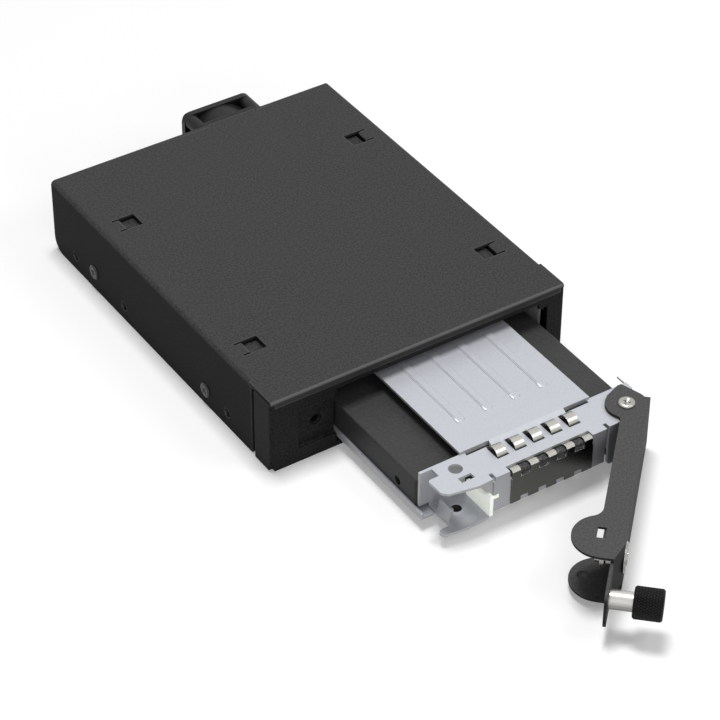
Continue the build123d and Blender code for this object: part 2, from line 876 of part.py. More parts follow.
# Fan frame: two rounded flanges, a round barrel and four corner posts
fan_rear = housing_depth + fan_depth
motor_seat = fan_rear - fan_spider
arm_span = 2 * (fan_bore_r + fan_wall / 2)
with BuildPart() as fan_frame:
    with BuildSketch(Plane.XZ.offset(-housing_depth)) as near_flange:
        with Locations((fan_x, fan_z)):
            RectangleRounded(fan_size, fan_size, fan_corner_r)
    extrude(amount=-fan_flange)
    with BuildSketch(Plane.XZ.offset(-fan_rear)) as far_flange:
        with Locations((fan_x, fan_z)):
            RectangleRounded(fan_size, fan_size, fan_corner_r)
    extrude(amount=fan_flange)
    with BuildSketch(Plane.XZ.offset(-housing_depth)) as barrel:
        with Locations((fan_x, fan_z)):
            Circle(fan_bore_r + fan_wall)
        with Locations(*fan_spots):
            Circle(fan_hole_r + fan_wall)
    extrude(amount=-fan_depth)
    with BuildSketch(Plane.XZ.offset(-housing_depth)) as duct:
        with Locations((fan_x, fan_z)):
            Circle(fan_bore_r)
        with Locations(*fan_spots):
            Circle(fan_hole_r)
    extrude(amount=-fan_depth, mode=Mode.SUBTRACT)
    with BuildSketch(Plane.XZ.offset(-motor_seat)) as spider:
        with Locations((fan_x, fan_z)):
            Circle(fan_hub_r)
            Rectangle(arm_span, fan_arm_width, rotation=fan_arm_turn)
            Rectangle(fan_arm_width, arm_span, rotation=fan_arm_turn)
            Circle(fan_shaft_r + pin_gap, mode=Mode.SUBTRACT)
    extrude(amount=motor_seat - fan_rear)
fan_frame.part.label = "fan_frame"
export_step(fan_frame.part, "parts/fan_frame.step")

# One twisted blade, repeated round the hub
blade_tip = fan_bore_r - fan_tip_gap
hub_front = housing_depth + fan_hub_room
hub_rear = motor_seat - run_gap
blade_mid = (hub_front + hub_rear) / 2
with BuildPart() as fan_blade:
    with BuildSketch(Plane.XY.offset(fan_z + fan_hub_r - fan_root_sink)) as blade_root:
        with Locations((fan_x, blade_mid)):
            Rectangle(fan_chord, fan_blade_root, rotation=fan_root_pitch)
    with BuildSketch(Plane.XY.offset(fan_z + blade_tip - fan_tip_short)) as blade_end:
        with Locations((fan_x, blade_mid)):
            Rectangle(fan_tip_chord, fan_blade_tip, rotation=fan_tip_pitch)
    loft()
fan_axis = Axis((fan_x, 0, fan_z), (0, 1, 0))
with BuildPart() as fan_rotor:
    with BuildSketch(Plane.XZ.offset(-hub_front)) as hub:
        with Locations((fan_x, fan_z)):
            Circle(fan_hub_r)
    extrude(amount=hub_front - hub_rear)
    fillet(fan_rotor.edges().filter_by(GeomType.CIRCLE).sort_by(Axis.Y)[0], fan_hub_corner)
    for k in range(fan_blades):
        add(fan_blade.part.rotate(fan_axis, k * 360 / fan_blades))
    with BuildSketch(Plane.XZ.offset(-hub_rear + fan_shaft_seat)) as shaft_hole:
        with Locations((fan_x, fan_z)):
            Circle(fan_shaft_r)
    extrude(amount=-fan_shaft_seat, mode=Mode.SUBTRACT)
fan_rotor.part.label = "fan_rotor"
export_step(fan_rotor.part, "parts/fan_rotor.step")

with BuildPart() as fan_shaft:
    with BuildSketch(Plane.XZ.offset(-hub_rear + fan_shaft_seat)) as shaft_face:
        with Locations((fan_x, fan_z)):
            Circle(fan_shaft_r)
    extrude(amount=-fan_shaft_seat - run_gap - fan_shaft_tail)
fan_shaft.part.label = "fan_shaft"
export_step(fan_shaft.part, "parts/fan_shaft.step")

with BuildPart() as fan_screws:
    with BuildSketch(Plane.XZ.offset(-fan_rear)) as fan_heads:
        with Locations(*fan_spots):
            Circle(fan_screw_head_r)
    extrude(amount=-fan_screw_head, taper=15)
    with BuildSketch(Plane.XZ.offset(-fan_rear)) as fan_shanks:
        with Locations(*fan_spots):
            Circle(fan_hole_r - screw_gap)
    extrude(amount=fan_depth + rear_sheet)
fan_screws.part.label = "fan_screws"
export_step(fan_screws.part, "parts/fan_screws.step")

# Tray base with a low lip on both sides
base_rear = drive_rear - tray_rear_inset
horn_front = drive_front - tray_horn_length
lip_rear = base_rear - tray_corner
with BuildPart() as tray_base:
    with BuildSketch(Plane.XY.offset(tray_z)) as base_plan:
        with BuildLine():
            Polyline(
                (tray_left, horn_front),
                (tray_left + tray_horn_width, horn_front),
                (tray_left + tray_horn_width, drive_front),
                (tray_right, drive_front),
                (tray_right, base_rear),
                (tray_left, base_rear),
                close=True,
            )
        make_face()
        fillet(base_plan.vertices().group_by(Axis.Y)[-1], tray_corner)
        with Locations(*[(x, y) for x in drive_hole_xs for y in drive_hole_ys]):
            Circle(drive_hole_r + pin_gap, mode=Mode.SUBTRACT)
        for slot_y in (tray_slot_front, tray_slot_front + tray_slot_pitch):
            with Locations((drive_x, drive_front + slot_y)):
                SlotOverall(tray_slot_length, tray_slot_width, mode=Mode.SUBTRACT)
    extrude(amount=tray_sheet)
    with BuildSketch(Plane.XY.offset(tray_z)) as left_lip:
        with Locations((tray_left, horn_front)):
            Rectangle(tray_sheet, lip_rear - horn_front, align=(Align.MIN, Align.MIN))
    extrude(amount=tray_lip)
    with BuildSketch(Plane.XY.offset(tray_z)) as right_lip:
        with Locations((tray_right, drive_front)):
            Rectangle(tray_sheet, lip_rear - drive_front, align=(Align.MAX, Align.MIN))
    extrude(amount=tray_lip)
tray_base.part.label = "tray_base"
export_step(tray_base.part, "parts/tray_base.step")

insulator_front = drive_front + foot_length + run_gap
with BuildPart() as insulating_sheet:
    with BuildSketch(Plane.XY.offset(tray_top)) as sheet_plan:
        with Locations((drive_x, insulator_front)):
            Rectangle(
                drive_width - 2 * insulator_inset,
                base_rear - insulator_rear_gap - insulator_front,
                align=(Align.CENTER, Align.MIN),
            )
        with Locations(*[(x, y) for x in drive_hole_xs for y in drive_hole_ys]):
            Circle(drive_hole_r + insulator_hole_room, mode=Mode.SUBTRACT)
    extrude(amount=insulator)
insulating_sheet.part.label = "insulating_sheet"
export_step(insulating_sheet.part, "parts/insulating_sheet.step")

# The drive: a flat case with a plug pocket in its rear and threaded holes
with BuildPart() as drive_body:
    with BuildSketch(Plane.XY.offset(drive_z)) as drive_plan:
        with Locations((drive_x, drive_front + drive_length / 2)):
            RectangleRounded(drive_width, drive_length, drive_corner)
    extrude(amount=drive_height)
    fillet(drive_body.faces().sort_by(Axis.Z)[-1].edges(), drive_top_edge)
    with BuildSketch(Plane.XZ.offset(-drive_rear)) as pocket:
        with Locations((plug_pocket_x, pocket_mid)):
            Rectangle(plug_pocket_width, plug_pocket_height)
    extrude(amount=plug_pocket_depth, mode=Mode.SUBTRACT)
    with BuildSketch(Plane.XY.offset(drive_z)) as bottom_holes:
        with Locations(*[(x, y) for x in drive_hole_xs for y in drive_hole_ys]):
            Circle(drive_hole_r)
    extrude(amount=drive_hole_depth, mode=Mode.SUBTRACT)
    for face_x, depth in (
        (drive_left, drive_side_hole_depth),
        (drive_right, -drive_side_hole_depth),
    ):
        with BuildSketch(Plane.YZ.offset(face_x)) as side_holes:
            with Locations(*[(y, drive_z + drive_side_hole_z) for y in drive_hole_ys]):
                Circle(drive_hole_r)
        extrude(amount=depth, mode=Mode.SUBTRACT)
drive_body.part.label = "drive_body"
export_step(drive_body.part, "parts/drive_body.step")

with BuildPart() as drive_plug:
    with BuildSketch(Plane.XZ.offset(-drive_rear + plug_pocket_depth)) as tongues:
        with Locations((signal_tongue_x, pocket_mid)):
            Rectangle(plug_signal_width, plug_tongue)
        with Locations((power_tongue_x, pocket_mid)):
            Rectangle(plug_power_width, plug_tongue)
    extrude(amount=-plug_tongue_length)
drive_plug.part.label = "drive_plug"
export_step(drive_plug.part, "parts/drive_plug.step")

with BuildPart() as drive_screws:
    with BuildSketch(Plane.XY.offset(tray_z)) as tray_heads:
        with Locations(*[(x, y) for x in drive_hole_xs for y in drive_hole_ys]):
            Circle(tray_screw_head_r)
    extrude(amount=-tray_screw_head, taper=20)
    with BuildSketch(Plane.XY.offset(tray_z)) as tray_shanks:
        with Locations(*[(x, y) for x in drive_hole_xs for y in drive_hole_ys]):
            Circle(drive_hole_r - screw_gap)
    extrude(amount=tray_sheet + insulator + tray_screw_reach)
drive_screws.part.label = "drive_screws"
export_step(drive_screws.part, "parts/drive_screws.step")

# Bracket: one folded sheet with the upper flange, walls, ribbed tongue and lower flanges
tongue_left = tongue_x - tongue_width / 2
tongue_rear = tongue_front + tongue_length
ear_r = pivot_inset - 0.05
slot_mid = (finger_slot_front + finger_slot_rear) / 2
slot_length = finger_slot_rear - finger_slot_front
neck_y = drive_front - left_neck_front
neck_corner = (bracket_left + 0.2, neck_y)
nose_corner = (bracket_left + 0.4, drive_front - left_nose_front)
nose_end = (bracket_left + 10.9, bracket_limit)
left_relief_x = front_wall_left - relief_width / 2
right_relief_x = front_wall_right + step_gap
relief_y = drive_front - relief_front
side_wall_x = right_relief_x + relief_width
wall_top = flange_top - wall_gap
hook_left = bracket_left + hook_inset
hook_y = drive_front - left_nose_front
hook_right = front_wall_left + 0.5
wall_front_y = drive_front - bracket_sheet
with BuildPart() as tray_bracket:
    with BuildSketch(Plane.XY.offset(flange_under)) as flange_plan:
        with BuildLine():
            Polyline(
                (bracket_left, drive_front),
                (bracket_left, drive_front - bracket_sheet - wall_gap),
                (bracket_left + left_neck_width, drive_front - bracket_sheet - wall_gap),
                (bracket_left + left_neck_width, neck_y),
                neck_corner,
                nose_corner,
                (nose_corner[0] + left_nose_corner, nose_corner[1] - left_nose_corner),
                nose_end,
                (left_relief_x, flange_front - wall_gap),
                (left_relief_x, relief_y),
                (left_relief_x + relief_width, relief_y),
                (left_relief_x + relief_width, flange_front),
                (front_wall_cut_left, flange_front),
                (front_wall_cut_left, flange_front + front_wall_cut_depth),
                (front_wall_cut_right, flange_front + front_wall_cut_depth),
                (front_wall_cut_right, flange_front),
                (right_relief_x, flange_front),
                (right_relief_x, relief_y),
                (right_relief_x + relief_width, relief_y),
                (right_relief_x + relief_width, flange_front + side_wall_setback),
                (pivot_x, flange_front + side_wall_setback),
                (pivot_x + ear_r, pivot_y),
                (pivot_x + ear_r, drive_front - 3.7),
                (bracket_right, drive_front - 3.0),
                (bracket_right, drive_front),
                close=True,
            )
        make_face()
        fillet(flange_plan.vertices().sort_by_distance(neck_corner)[0], 0.8)
        fillet(flange_plan.vertices().sort_by_distance(nose_corner)[0], 1.6)
        fillet(flange_plan.vertices().sort_by_distance(nose_end)[0], 3.0)
        with Locations((pivot_x, pivot_y)):
            Circle(ear_r)
        # round hole, slot for the lock, finger slots and pivot hole
        with Locations((bracket_left + hole_inset, drive_front - hole_front)):
            Circle(hole_r, mode=Mode.SUBTRACT)
        with Locations((pivot_x - lock_u + lock_slot_shift, pivot_y - lock_slot_shift)):
            Rectangle(lock_slot_length, lock_slot_width, mode=Mode.SUBTRACT)
        for x in finger_xs:
            with Locations((x, slot_mid)):
                Rectangle(finger_width + 2 * finger_side_gap, slot_length, mode=Mode.SUBTRACT)
        with Locations((pivot_x, pivot_y)):
            Circle(pivot_r + screw_gap, mode=Mode.SUBTRACT)
    extrude(amount=bracket_sheet)
    # tongue over the drive, one sheet thickness higher, with a joggle at its neck
    with BuildSketch(Plane.XY.offset(flange_top)) as tongue_plan:
        with Locations((tongue_left, tongue_front)):
            Rectangle(tongue_width, tongue_length, align=(Align.MIN, Align.MIN))
        fillet(tongue_plan.vertices().group_by(Axis.Y)[-1], tongue_corner)
    extrude(amount=bracket_sheet)
    with BuildSketch(Plane.YZ.offset(tongue_neck_left)) as joggle:
        with BuildLine():
            Polyline(
                (tongue_front - 1.1, flange_under),
                (tongue_front + 0.9, flange_top),
                (tongue_front + 0.9, tongue_top),
                (tongue_front, tongue_top),
                (tongue_front - 2 * joggle_depth, flange_top),
                (tongue_front - 2 * joggle_depth, flange_under),
                close=True,
            )
        make_face()
    extrude(amount=tongue_neck_right - tongue_neck_left)
    with BuildSketch(Plane.XY.offset(flange_under)) as tongue_reliefs:
        for start in (tongue_neck_left - neck_relief_width, tongue_neck_right):
            with Locations((start, tongue_front)):
                Rectangle(neck_relief_width, neck_relief_depth, align=(Align.MIN, Align.MAX))
    extrude(amount=bracket_sheet, mode=Mode.SUBTRACT)
    # four shallow ribs pressed into the tongue
    for k in (-1.5, -0.5, 0.5, 1.5):
        rib_x = tongue_x + 0.5 + k * rib_pitch
        with BuildSketch(Plane.XY.offset(tongue_top)) as rib:
            with Locations((rib_x, tongue_front + rib_front)):
                Rectangle(rib_width, tongue_length - 2 * rib_front, align=(Align.CENTER, Align.MIN))
            fillet(rib.vertices(), rib_width / 2 - 0.05)
        extrude(amount=rib_height, taper=40)
        with BuildSketch(Plane.XY.offset(flange_top)) as rib_under:
            with Locations((rib_x, tongue_front + rib_front)):
                Rectangle(rib_width, tongue_length - 2 * rib_front, align=(Align.CENTER, Align.MIN))
            fillet(rib_under.vertices(), rib_width / 2 - 0.05)
        extrude(amount=rib_height, taper=40, mode=Mode.SUBTRACT)
    # walls at the front
    with BuildSketch(Plane.XZ.offset(-flange_front)) as front_wall:
        with BuildLine():
            Polyline(
                (front_wall_left, front_wall_bottom),
                (front_wall_right, front_wall_bottom),
                (front_wall_right, wall_top),
                (front_wall_cut_right, wall_top),
                (front_wall_cut_right, front_wall_top),
                (front_wall_cut_left, front_wall_top),
                (front_wall_cut_left, wall_top),
                (left_relief_x + relief_width, wall_top),
                (left_relief_x + relief_width, flange_under - bracket_sheet),
                (front_wall_left, flange_under - bracket_sheet),
                close=True,
            )
        make_face()
    extrude(amount=-bracket_sheet)
    with BuildSketch(Plane.XZ.offset(-flange_front - side_wall_setback)) as side_wall:
        with Locations((side_wall_x, tray_z)):
            Rectangle(side_wall_width, wall_top - tray_z, align=(Align.MIN, Align.MIN))
        fillet(side_wall.vertices().group_by(Axis.Y)[0], side_wall_corner)
    extrude(amount=-bracket_sheet)
    # walls against the drive with feet under it
    with BuildSketch(Plane.XZ.offset(-drive_front)) as rear_walls:
        with Locations((bracket_left, tray_z)):
            Rectangle(
                rear_wall_left_end - bracket_left,
                wall_top - tray_z,
                align=(Align.MIN, Align.MIN),
            )
        with Locations((rear_wall_right_start, tray_z)):
            Rectangle(
                pivot_x + ear_r - rear_wall_right_start,
                wall_top - tray_z,
                align=(Align.MIN, Align.MIN),
            )
    extrude(amount=bracket_sheet)
    with BuildSketch(Plane.XY.offset(tray_z)) as horn_room:
        with Locations((tray_left, drive_front)):
            Rectangle(
                tray_horn_width + step_gap,
                tray_horn_length + 2 * step_gap,
                align=(Align.MIN, Align.MAX),
            )
    extrude(amount=tray_lip + notch_gap, mode=Mode.SUBTRACT)
    with BuildSketch(Plane.XY.offset(tray_top)) as feet:
        with Locations(
            (bracket_left + foot_left_inset, drive_front - bracket_sheet),
            (rear_wall_right_start + foot_right_inset, drive_front - bracket_sheet),
        ):
            Rectangle(
                foot_width,
                foot_length + bracket_sheet,
                align=(Align.CENTER, Align.MIN),
            )
    extrude(amount=insulator)
    # lower flange on the left with its hook
    with BuildSketch(Plane.XY.offset(tray_z)) as hook_plan:
        with BuildLine():
            Polyline(
                (hook_left, wall_front_y),
                (hook_left, hook_y),
                (hook_left - 2.7, hook_y),
            )
            ThreePointArc(
                (hook_left - 2.7, hook_y),
                (hook_left - hook_reach, hook_y - hook_drop),
                (hook_left - 2.1, hook_y - 2.7),
            )
            ThreePointArc(
                (hook_left - 2.1, hook_y - 2.7),
                (hook_left + 6.6, bracket_limit),
                (hook_right, hook_y - 2.2),
            )
            Polyline(
                (hook_right, hook_y - 2.2),
                (hook_right, wall_front_y),
                (hook_left, wall_front_y),
            )
        make_face()
        with Locations((hook_left + hook_hole_inset, drive_front - hook_hole_inset)):
            Circle(hook_hole_r, mode=Mode.SUBTRACT)
    extrude(amount=bracket_sheet)
    with BuildSketch(Plane.XY.offset(tray_z)) as hook_root:
        with Locations((hook_left, drive_front)):
            Rectangle(
                rear_wall_left_end - hook_left,
                bracket_sheet + step_gap,
                align=(Align.MIN, Align.MAX),
            )
    extrude(amount=bracket_sheet)
    with BuildSketch(Plane.XZ.offset(-drive_front + flap_front)) as flap:
        with BuildLine():
            Polyline(
                (hook_left, tray_z),
                (hook_left + bracket_sheet, tray_z),
                (hook_left + bracket_sheet, tray_top),
                (hook_left + bracket_sheet + flap_lean, tray_top + flap_height - notch_gap),
                (hook_left + flap_lean, tray_top + flap_height),
                close=True,
            )
        make_face()
    extrude(amount=flap_length)
    # lower ear for the pivot
    with BuildSketch(Plane.XY.offset(tray_z)) as lower_ear:
        with Locations((pivot_x, pivot_y)):
            Circle(ear_r)
        with Locations((pivot_x, drive_front)):
            Rectangle(2 * ear_r, pivot_ahead, align=(Align.CENTER, Align.MAX))
        with Locations((pivot_x, pivot_y)):
            Circle(pivot_r + screw_gap, mode=Mode.SUBTRACT)
    extrude(amount=bracket_sheet)
tray_bracket.part.label = "tray_bracket"
export_step(tray_bracket.part, "parts/tray_bracket.step")

# Finger strip: spring steel under the flange, five arches, five tabs and a face plate
strip_z = flange_under - strip_sheet
strip_half = strip_sheet / 2
face_y = flange_front - strip_sheet
strip_front = flange_front + front_wall_cut_depth + wall_gap
strip_mid = strip_z + strip_half
face_left = finger_xs[0] - finger_width / 2
face_right = finger_xs[-1] + finger_width / 2
arch_top = flange_top + finger_rise
with BuildPart() as finger_strip:
    with BuildSketch(Plane.XY.offset(strip_z)) as strip_plan:
        with Locations((face_left - finger_side_margin, strip_front)):
            Rectangle(
                face_right - face_left + 2 * finger_side_margin,
                finger_slot_rear + finger_end_room - strip_front,
                align=(Align.MIN, Align.MIN),
            )
        for x in finger_xs:
            with Locations((x, slot_mid)):
                Rectangle(
                    finger_width + 2 * finger_side_gap,
                    slot_length - 2 * joggle_depth,
                    mode=Mode.SUBTRACT,
                )
    extrude(amount=strip_sheet)
    for x in finger_xs:
        with BuildSketch(Plane.YZ.offset(x - finger_width / 2)) as arch:
            with BuildLine():
                ThreePointArc(
                    (finger_slot_rear - finger_seat, strip_mid),
                    (slot_mid, arch_top),
                    (finger_slot_front + finger_seat, strip_mid),
                )
            trace(line_width=strip_sheet)
        extrude(amount=finger_width)
        with BuildSketch(Plane.YZ.offset(x - finger_tab_width / 2)) as tab_side:
            with BuildLine():
                Polyline(
                    (strip_front + 0.7, strip_mid),
                    (strip_front - 0.45, strip_mid),
                    (flange_front + 1.4, strip_mid + finger_tab_rise),
                    (flange_front + strip_sheet, strip_mid + finger_tab_rise),
                    (face_y + strip_half, strip_mid),
                    (face_y + strip_half, face_plate_top - strip_sheet),
                )
            trace(line_width=strip_sheet)
        extrude(amount=finger_tab_width)
    with BuildSketch(Plane.XZ.offset(-face_y)) as face_plate:
        with Locations((face_left, face_plate_bottom)):
            Rectangle(
                face_right - face_left,
                face_plate_top - face_plate_bottom,
                align=(Align.MIN, Align.MIN),
            )
        for x in finger_xs[:-1]:
            with Locations((x + finger_pitch / 2, face_plate_bottom)):
                Rectangle(finger_pitch - finger_width, 2 * lug_height, mode=Mode.SUBTRACT)
    extrude(amount=-strip_sheet)
finger_strip.part.label = "finger_strip"
export_step(finger_strip.part, "parts/finger_strip.step")

with BuildPart() as gap_pad:
    with BuildSketch(Plane.XY.offset(drive_top)) as pad_plan:
        with Locations((tongue_left + gap_pad_inset, drive_front + gap_pad_end)):
            Rectangle(
                tongue_width - 2 * gap_pad_inset,
                tongue_rear - drive_front - 2 * gap_pad_end,
                align=(Align.MIN, Align.MIN),
            )
    extrude(amount=gap_pad_height)
gap_pad.part.label = "gap_pad"
export_step(gap_pad.part, "parts/gap_pad.step")

# Light pipe on the lower flange
pipe_right = front_wall_left - notch_gap
pipe_left = pipe_right - pipe_width
pipe_front = drive_front - pipe_reach
pipe_rear = drive_front - pipe_back_gap
pipe_top = tray_top + pipe_height
with BuildPart() as light_pipe:
    with BuildSketch(Plane.YZ.offset(pipe_left)) as pipe_side:
        with BuildLine():
            Polyline(
                (pipe_rear, tray_top),
                (pipe_front, tray_top),
                (pipe_front, pipe_top),
                (pipe_front + 2.0, pipe_top),
                (pipe_front + 2.0 + pipe_nub, pipe_top - pipe_nub),
                (pipe_rear, pipe_top - pipe_fall),
                close=True,
            )
        make_face()
    extrude(amount=pipe_right - pipe_left)
    with BuildSketch(Plane.YZ.offset(pipe_right)) as nub:
        with Locations((pipe_front, pipe_top)):
            Rectangle(pipe_nub_sheet, pipe_nub, align=(Align.MIN, Align.MAX))
    extrude(amount=pipe_nub_length)
light_pipe.part.label = "light_pipe"
export_step(light_pipe.part, "parts/light_pipe.step")

# Leaf spring on the right end of the flange
leaf_x = bracket_right + leaf_proud
with BuildPart() as side_spring:
    with BuildSketch(Plane.XY.offset(leaf_bottom)) as leaf:
        with BuildLine():
            Polyline(
                (leaf_x - leaf_foot, wall_front_y - strip_half),
                (leaf_x, wall_front_y - strip_half),
                (leaf_x, drive_front + leaf_rear),
            )
        trace(line_width=strip_sheet)
    extrude(amount=flange_under - leaf_bottom)
side_spring.part.label = "side_spring"
export_step(side_spring.part, "parts/side_spring.step")

# Pivot of the lever
post_bottom = lower_plate_z - pin_gap
post_top = lever_top + pin_gap
with BuildPart() as pivot_post:
    with BuildSketch(Plane.XZ.offset(-pivot_y)) as post_section:
        with BuildLine():
            Polyline(
                (pivot_x, post_bottom),
                (pivot_x + pivot_r, post_bottom),
                (pivot_x + pivot_r, tray_top),
                (pivot_x + pivot_post_r, tray_top),
                (pivot_x + pivot_post_r, flange_under),
                (pivot_x + pivot_r, flange_under),
                (pivot_x + pivot_r, post_top),
                (pivot_x, post_top),
                close=True,
            )
        make_face()
    revolve(axis=Axis((pivot_x, pivot_y, 0), (0, 0, 1)))
    with BuildSketch(Plane.XY.offset(post_top)) as post_tap:
        with Locations((pivot_x, pivot_y)):
            Circle(pivot_thread_r + screw_gap)
    extrude(amount=-pivot_thread - 0.5, mode=Mode.SUBTRACT)
    with BuildSketch(Plane.XY.offset(post_bottom)) as post_low_tap:
        with Locations((pivot_x, pivot_y)):
            Circle(pivot_thread_r + screw_gap)
    extrude(amount=pivot_thread + 0.5, mode=Mode.SUBTRACT)
pivot_post.part.label = "pivot_post"
export_step(pivot_post.part, "parts/pivot_post.step")

with BuildPart() as pivot_screw:
    with BuildSketch(Plane.XY.offset(post_top)) as pivot_cap:
        with Locations((pivot_x, pivot_y)):
            Circle(pivot_head_r)
    extrude(amount=pivot_head)
    fillet(pivot_screw.edges().sort_by(Axis.Z)[-1], pivot_head * 0.6)
    with BuildSketch(Plane.XY.offset(post_top)) as pivot_shank:
        with Locations((pivot_x, pivot_y)):
            Circle(pivot_thread_r)
    extrude(amount=-pivot_thread)
pivot_screw.part.label = "pivot_screw"
export_step(pivot_screw.part, "parts/pivot_screw.step")

with BuildPart() as pivot_rivet:
    with BuildSketch(Plane.XY.offset(post_bottom)) as rivet_cap:
        with Locations((pivot_x, pivot_y)):
            Circle(pivot_head_r)
    extrude(amount=-rivet_head)
    with BuildSketch(Plane.XY.offset(post_bottom)) as rivet_shank:
        with Locations((pivot_x, pivot_y)):
            Circle(pivot_thread_r)
    extrude(amount=pivot_thread)
pivot_rivet.part.label = "pivot_rivet"
export_step(pivot_rivet.part, "parts/pivot_rivet.step")

with BuildPart() as lever_washers:
    for seat_z in (flange_top, tray_z - washer):
        with BuildSketch(Plane.XY.offset(seat_z)):
            with Locations((pivot_x, pivot_y)):
                Circle(washer_r)
                Circle(pivot_r + screw_gap, mode=Mode.SUBTRACT)
        extrude(amount=washer)
lever_washers.part.label = "lever_washers"
export_step(lever_washers.part, "parts/lever_washers.step")

# Lever: two plates of one outline, the wall that joins them and the end tab
with BuildPart() as lever_arm:
    for plate_z in (upper_plate_z, lower_plate_z):
        with BuildSketch(lever_plan(plate_z)) as arm_plan:
            with BuildLine():
                Polyline(
                    (-wall_start, arm_outer),
                    (joggle_start, arm_outer),
                    (arm_length, tab_outer),
                    (arm_length, 0),
                    (lobe_u, -arm_inner),
                    (-wall_start, -arm_inner),
                    close=True,
                )
            make_face()
            Circle(head_r)
            with Locations((lobe_u, 0)):
                Circle(lobe_r)
            with BuildLine():
                Polyline(
                    (-2.4, -5.9),
                    (-7.6, -3.5),
                    (-8.4, -2.5),
                    (-5.5, 2.85),
                    (0, 2.0),
                    close=True,
                )
            make_face()
            # the lobe ends at the outer wall
            with BuildLine():
                Polyline(
                    (-2 * head_r, arm_outer),
                    (joggle_start, arm_outer),
                    (arm_length, tab_outer),
                    (arm_length + lobe_r, tab_outer),
                    (arm_length + lobe_r, 2 * lobe_r),
                    (-2 * head_r, 2 * lobe_r),
                    close=True,
                )
            make_face(mode=Mode.SUBTRACT)
            root = arm_plan.vertices().sort_by_distance((lobe_u - lobe_r, -arm_inner))[0]
            fillet(root, 4.0)
            neck = arm_plan.vertices().sort_by_distance((head_r, -arm_inner))[0]
            fillet(neck, 1.5)
            with Locations((0, 0)):
                Circle(pivot_r + pin_gap, mode=Mode.SUBTRACT)
        extrude(amount=lever_sheet)
    with BuildSketch(lever_plan(lower_plate_z)) as wall_plan:
        with BuildLine():
            Polyline(
                (-wall_start, arm_outer),
                (joggle_start, arm_outer),
                (arm_length, tab_outer),
                (arm_length, tab_outer - lever_wall),
                (joggle_start, arm_outer - lever_wall),
                (-wall_start, arm_outer - lever_wall),
                close=True,
            )
        make_face()
    extrude(amount=lever_top - lower_plate_z)
    with BuildSketch(lever_side(tab_outer)) as tab_face:
        with Locations((-arm_length + 1.0, tab_bottom)):
            Rectangle(tab_length + 1.0, tab_top - tab_bottom, align=(Align.MAX, Align.MIN))
        fillet(tab_face.vertices().group_by(Axis.X)[0], tab_corner)
        with Locations((-screw_u, lock_z)):
            Circle(screw_r + pin_gap, mode=Mode.SUBTRACT)
    extrude(amount=-lever_wall)
    # slot for the lock cam in the upper plate, dimple hole in the lower
    with BuildSketch(lever_plan(upper_plate_z)) as cam_slot:
        with Locations((lock_u - cam_slot_back, cam_slot_v)):
            Rectangle(cam_slot_length, cam_slot_width)
    extrude(amount=lever_sheet, mode=Mode.SUBTRACT)
    with BuildSketch(lever_plan(lower_plate_z)) as low_hole:
        with Locations((lobe_u - 0.5, low_hole_v)):
            Circle(low_hole_r)
    extrude(amount=lever_sheet, mode=Mode.SUBTRACT)
    # notch in the wall where it passes over the hook of the closed bracket
    with BuildSketch(lever_plan(lower_plate_z + lever_sheet)) as hook_notch:
        with Locations((hook_notch_start, tab_outer - 2 * lever_wall)):
            Rectangle(
                arm_length + lever_wall - hook_notch_start,
                arm_outer - tab_outer + 3 * lever_wall,
                align=(Align.MIN, Align.MIN),
            )
    extrude(amount=hook_notch_height, mode=Mode.SUBTRACT)
    with BuildSketch(lever_side(arm_outer)) as barrel_hole:
        with Locations((-lock_u, lock_z)):
            Circle(lock_barrel_r + screw_gap)
    extrude(amount=-lever_wall - 1.0, mode=Mode.SUBTRACT)
lever_arm.part.label = "lever_arm"
export_step(lever_arm.part, "parts/lever_arm.step")

# Key lock: a flanged barrel, the turning plug and its cam
with BuildPart() as lock_barrel:
    with BuildSketch(lever_side(arm_outer)) as flange_disc:
        with Locations((-lock_u, lock_z)):
            Circle(lock_face_r)
    extrude(amount=lock_flange, taper=30)
    with BuildSketch(lever_side(arm_outer)) as barrel_body:
        with Locations((-lock_u, lock_z)):
            Circle(lock_barrel_r)
    extrude(amount=lock_barrel_inner - arm_outer)
    with BuildSketch(lever_side(arm_outer + lock_flange)) as plug_bore:
        with Locations((-lock_u, lock_z)):
            Circle(lock_plug_r + pin_gap)
    extrude(amount=lock_barrel_inner - arm_outer - lock_flange, mode=Mode.SUBTRACT)
lock_barrel.part.label = "lock_barrel"
export_step(lock_barrel.part, "parts/lock_barrel.step")

cam_outer = cam_mid + cam_thickness / 2
plug_face_v = arm_outer + lock_flange + lock_plug_proud
with BuildPart() as lock_plug:
    with BuildSketch(lever_side(plug_face_v)) as plug_face:
        with Locations((-lock_u, lock_z)):
            Circle(lock_plug_r)
    extrude(amount=cam_outer - plug_face_v)
    with BuildSketch(lever_side(plug_face_v)) as key_slot:
        with Locations((-lock_u, lock_z)):
            Rectangle(key_slot_width, key_slot_height)
    extrude(amount=-key_slot_depth, mode=Mode.SUBTRACT)
    with BuildSketch(lever_side(cam_outer)) as cam_stub:
        with Locations((-lock_u, lock_z)):
            Circle(cam_stub_r)
    extrude(amount=-cam_thickness - cam_stub_tail)
lock_plug.part.label = "lock_plug"
export_step(lock_plug.part, "parts/lock_plug.step")

with BuildPart() as lock_cam:
    with BuildSketch(lever_side(cam_outer)) as cam_plan:
        with Locations((-lock_u, lock_z)):
            Circle(cam_r)
            Rectangle(cam_reach, cam_tip_width, align=(Align.MIN, Align.CENTER))
        fillet(cam_plan.vertices().group_by(Axis.X)[-1], cam_tip_corner)
        with Locations((-lock_u, lock_z)):
            Circle(cam_stub_r, mode=Mode.SUBTRACT)
    extrude(amount=-cam_thickness)
lock_cam.part.label = "lock_cam"
export_step(lock_cam.part, "parts/lock_cam.step")

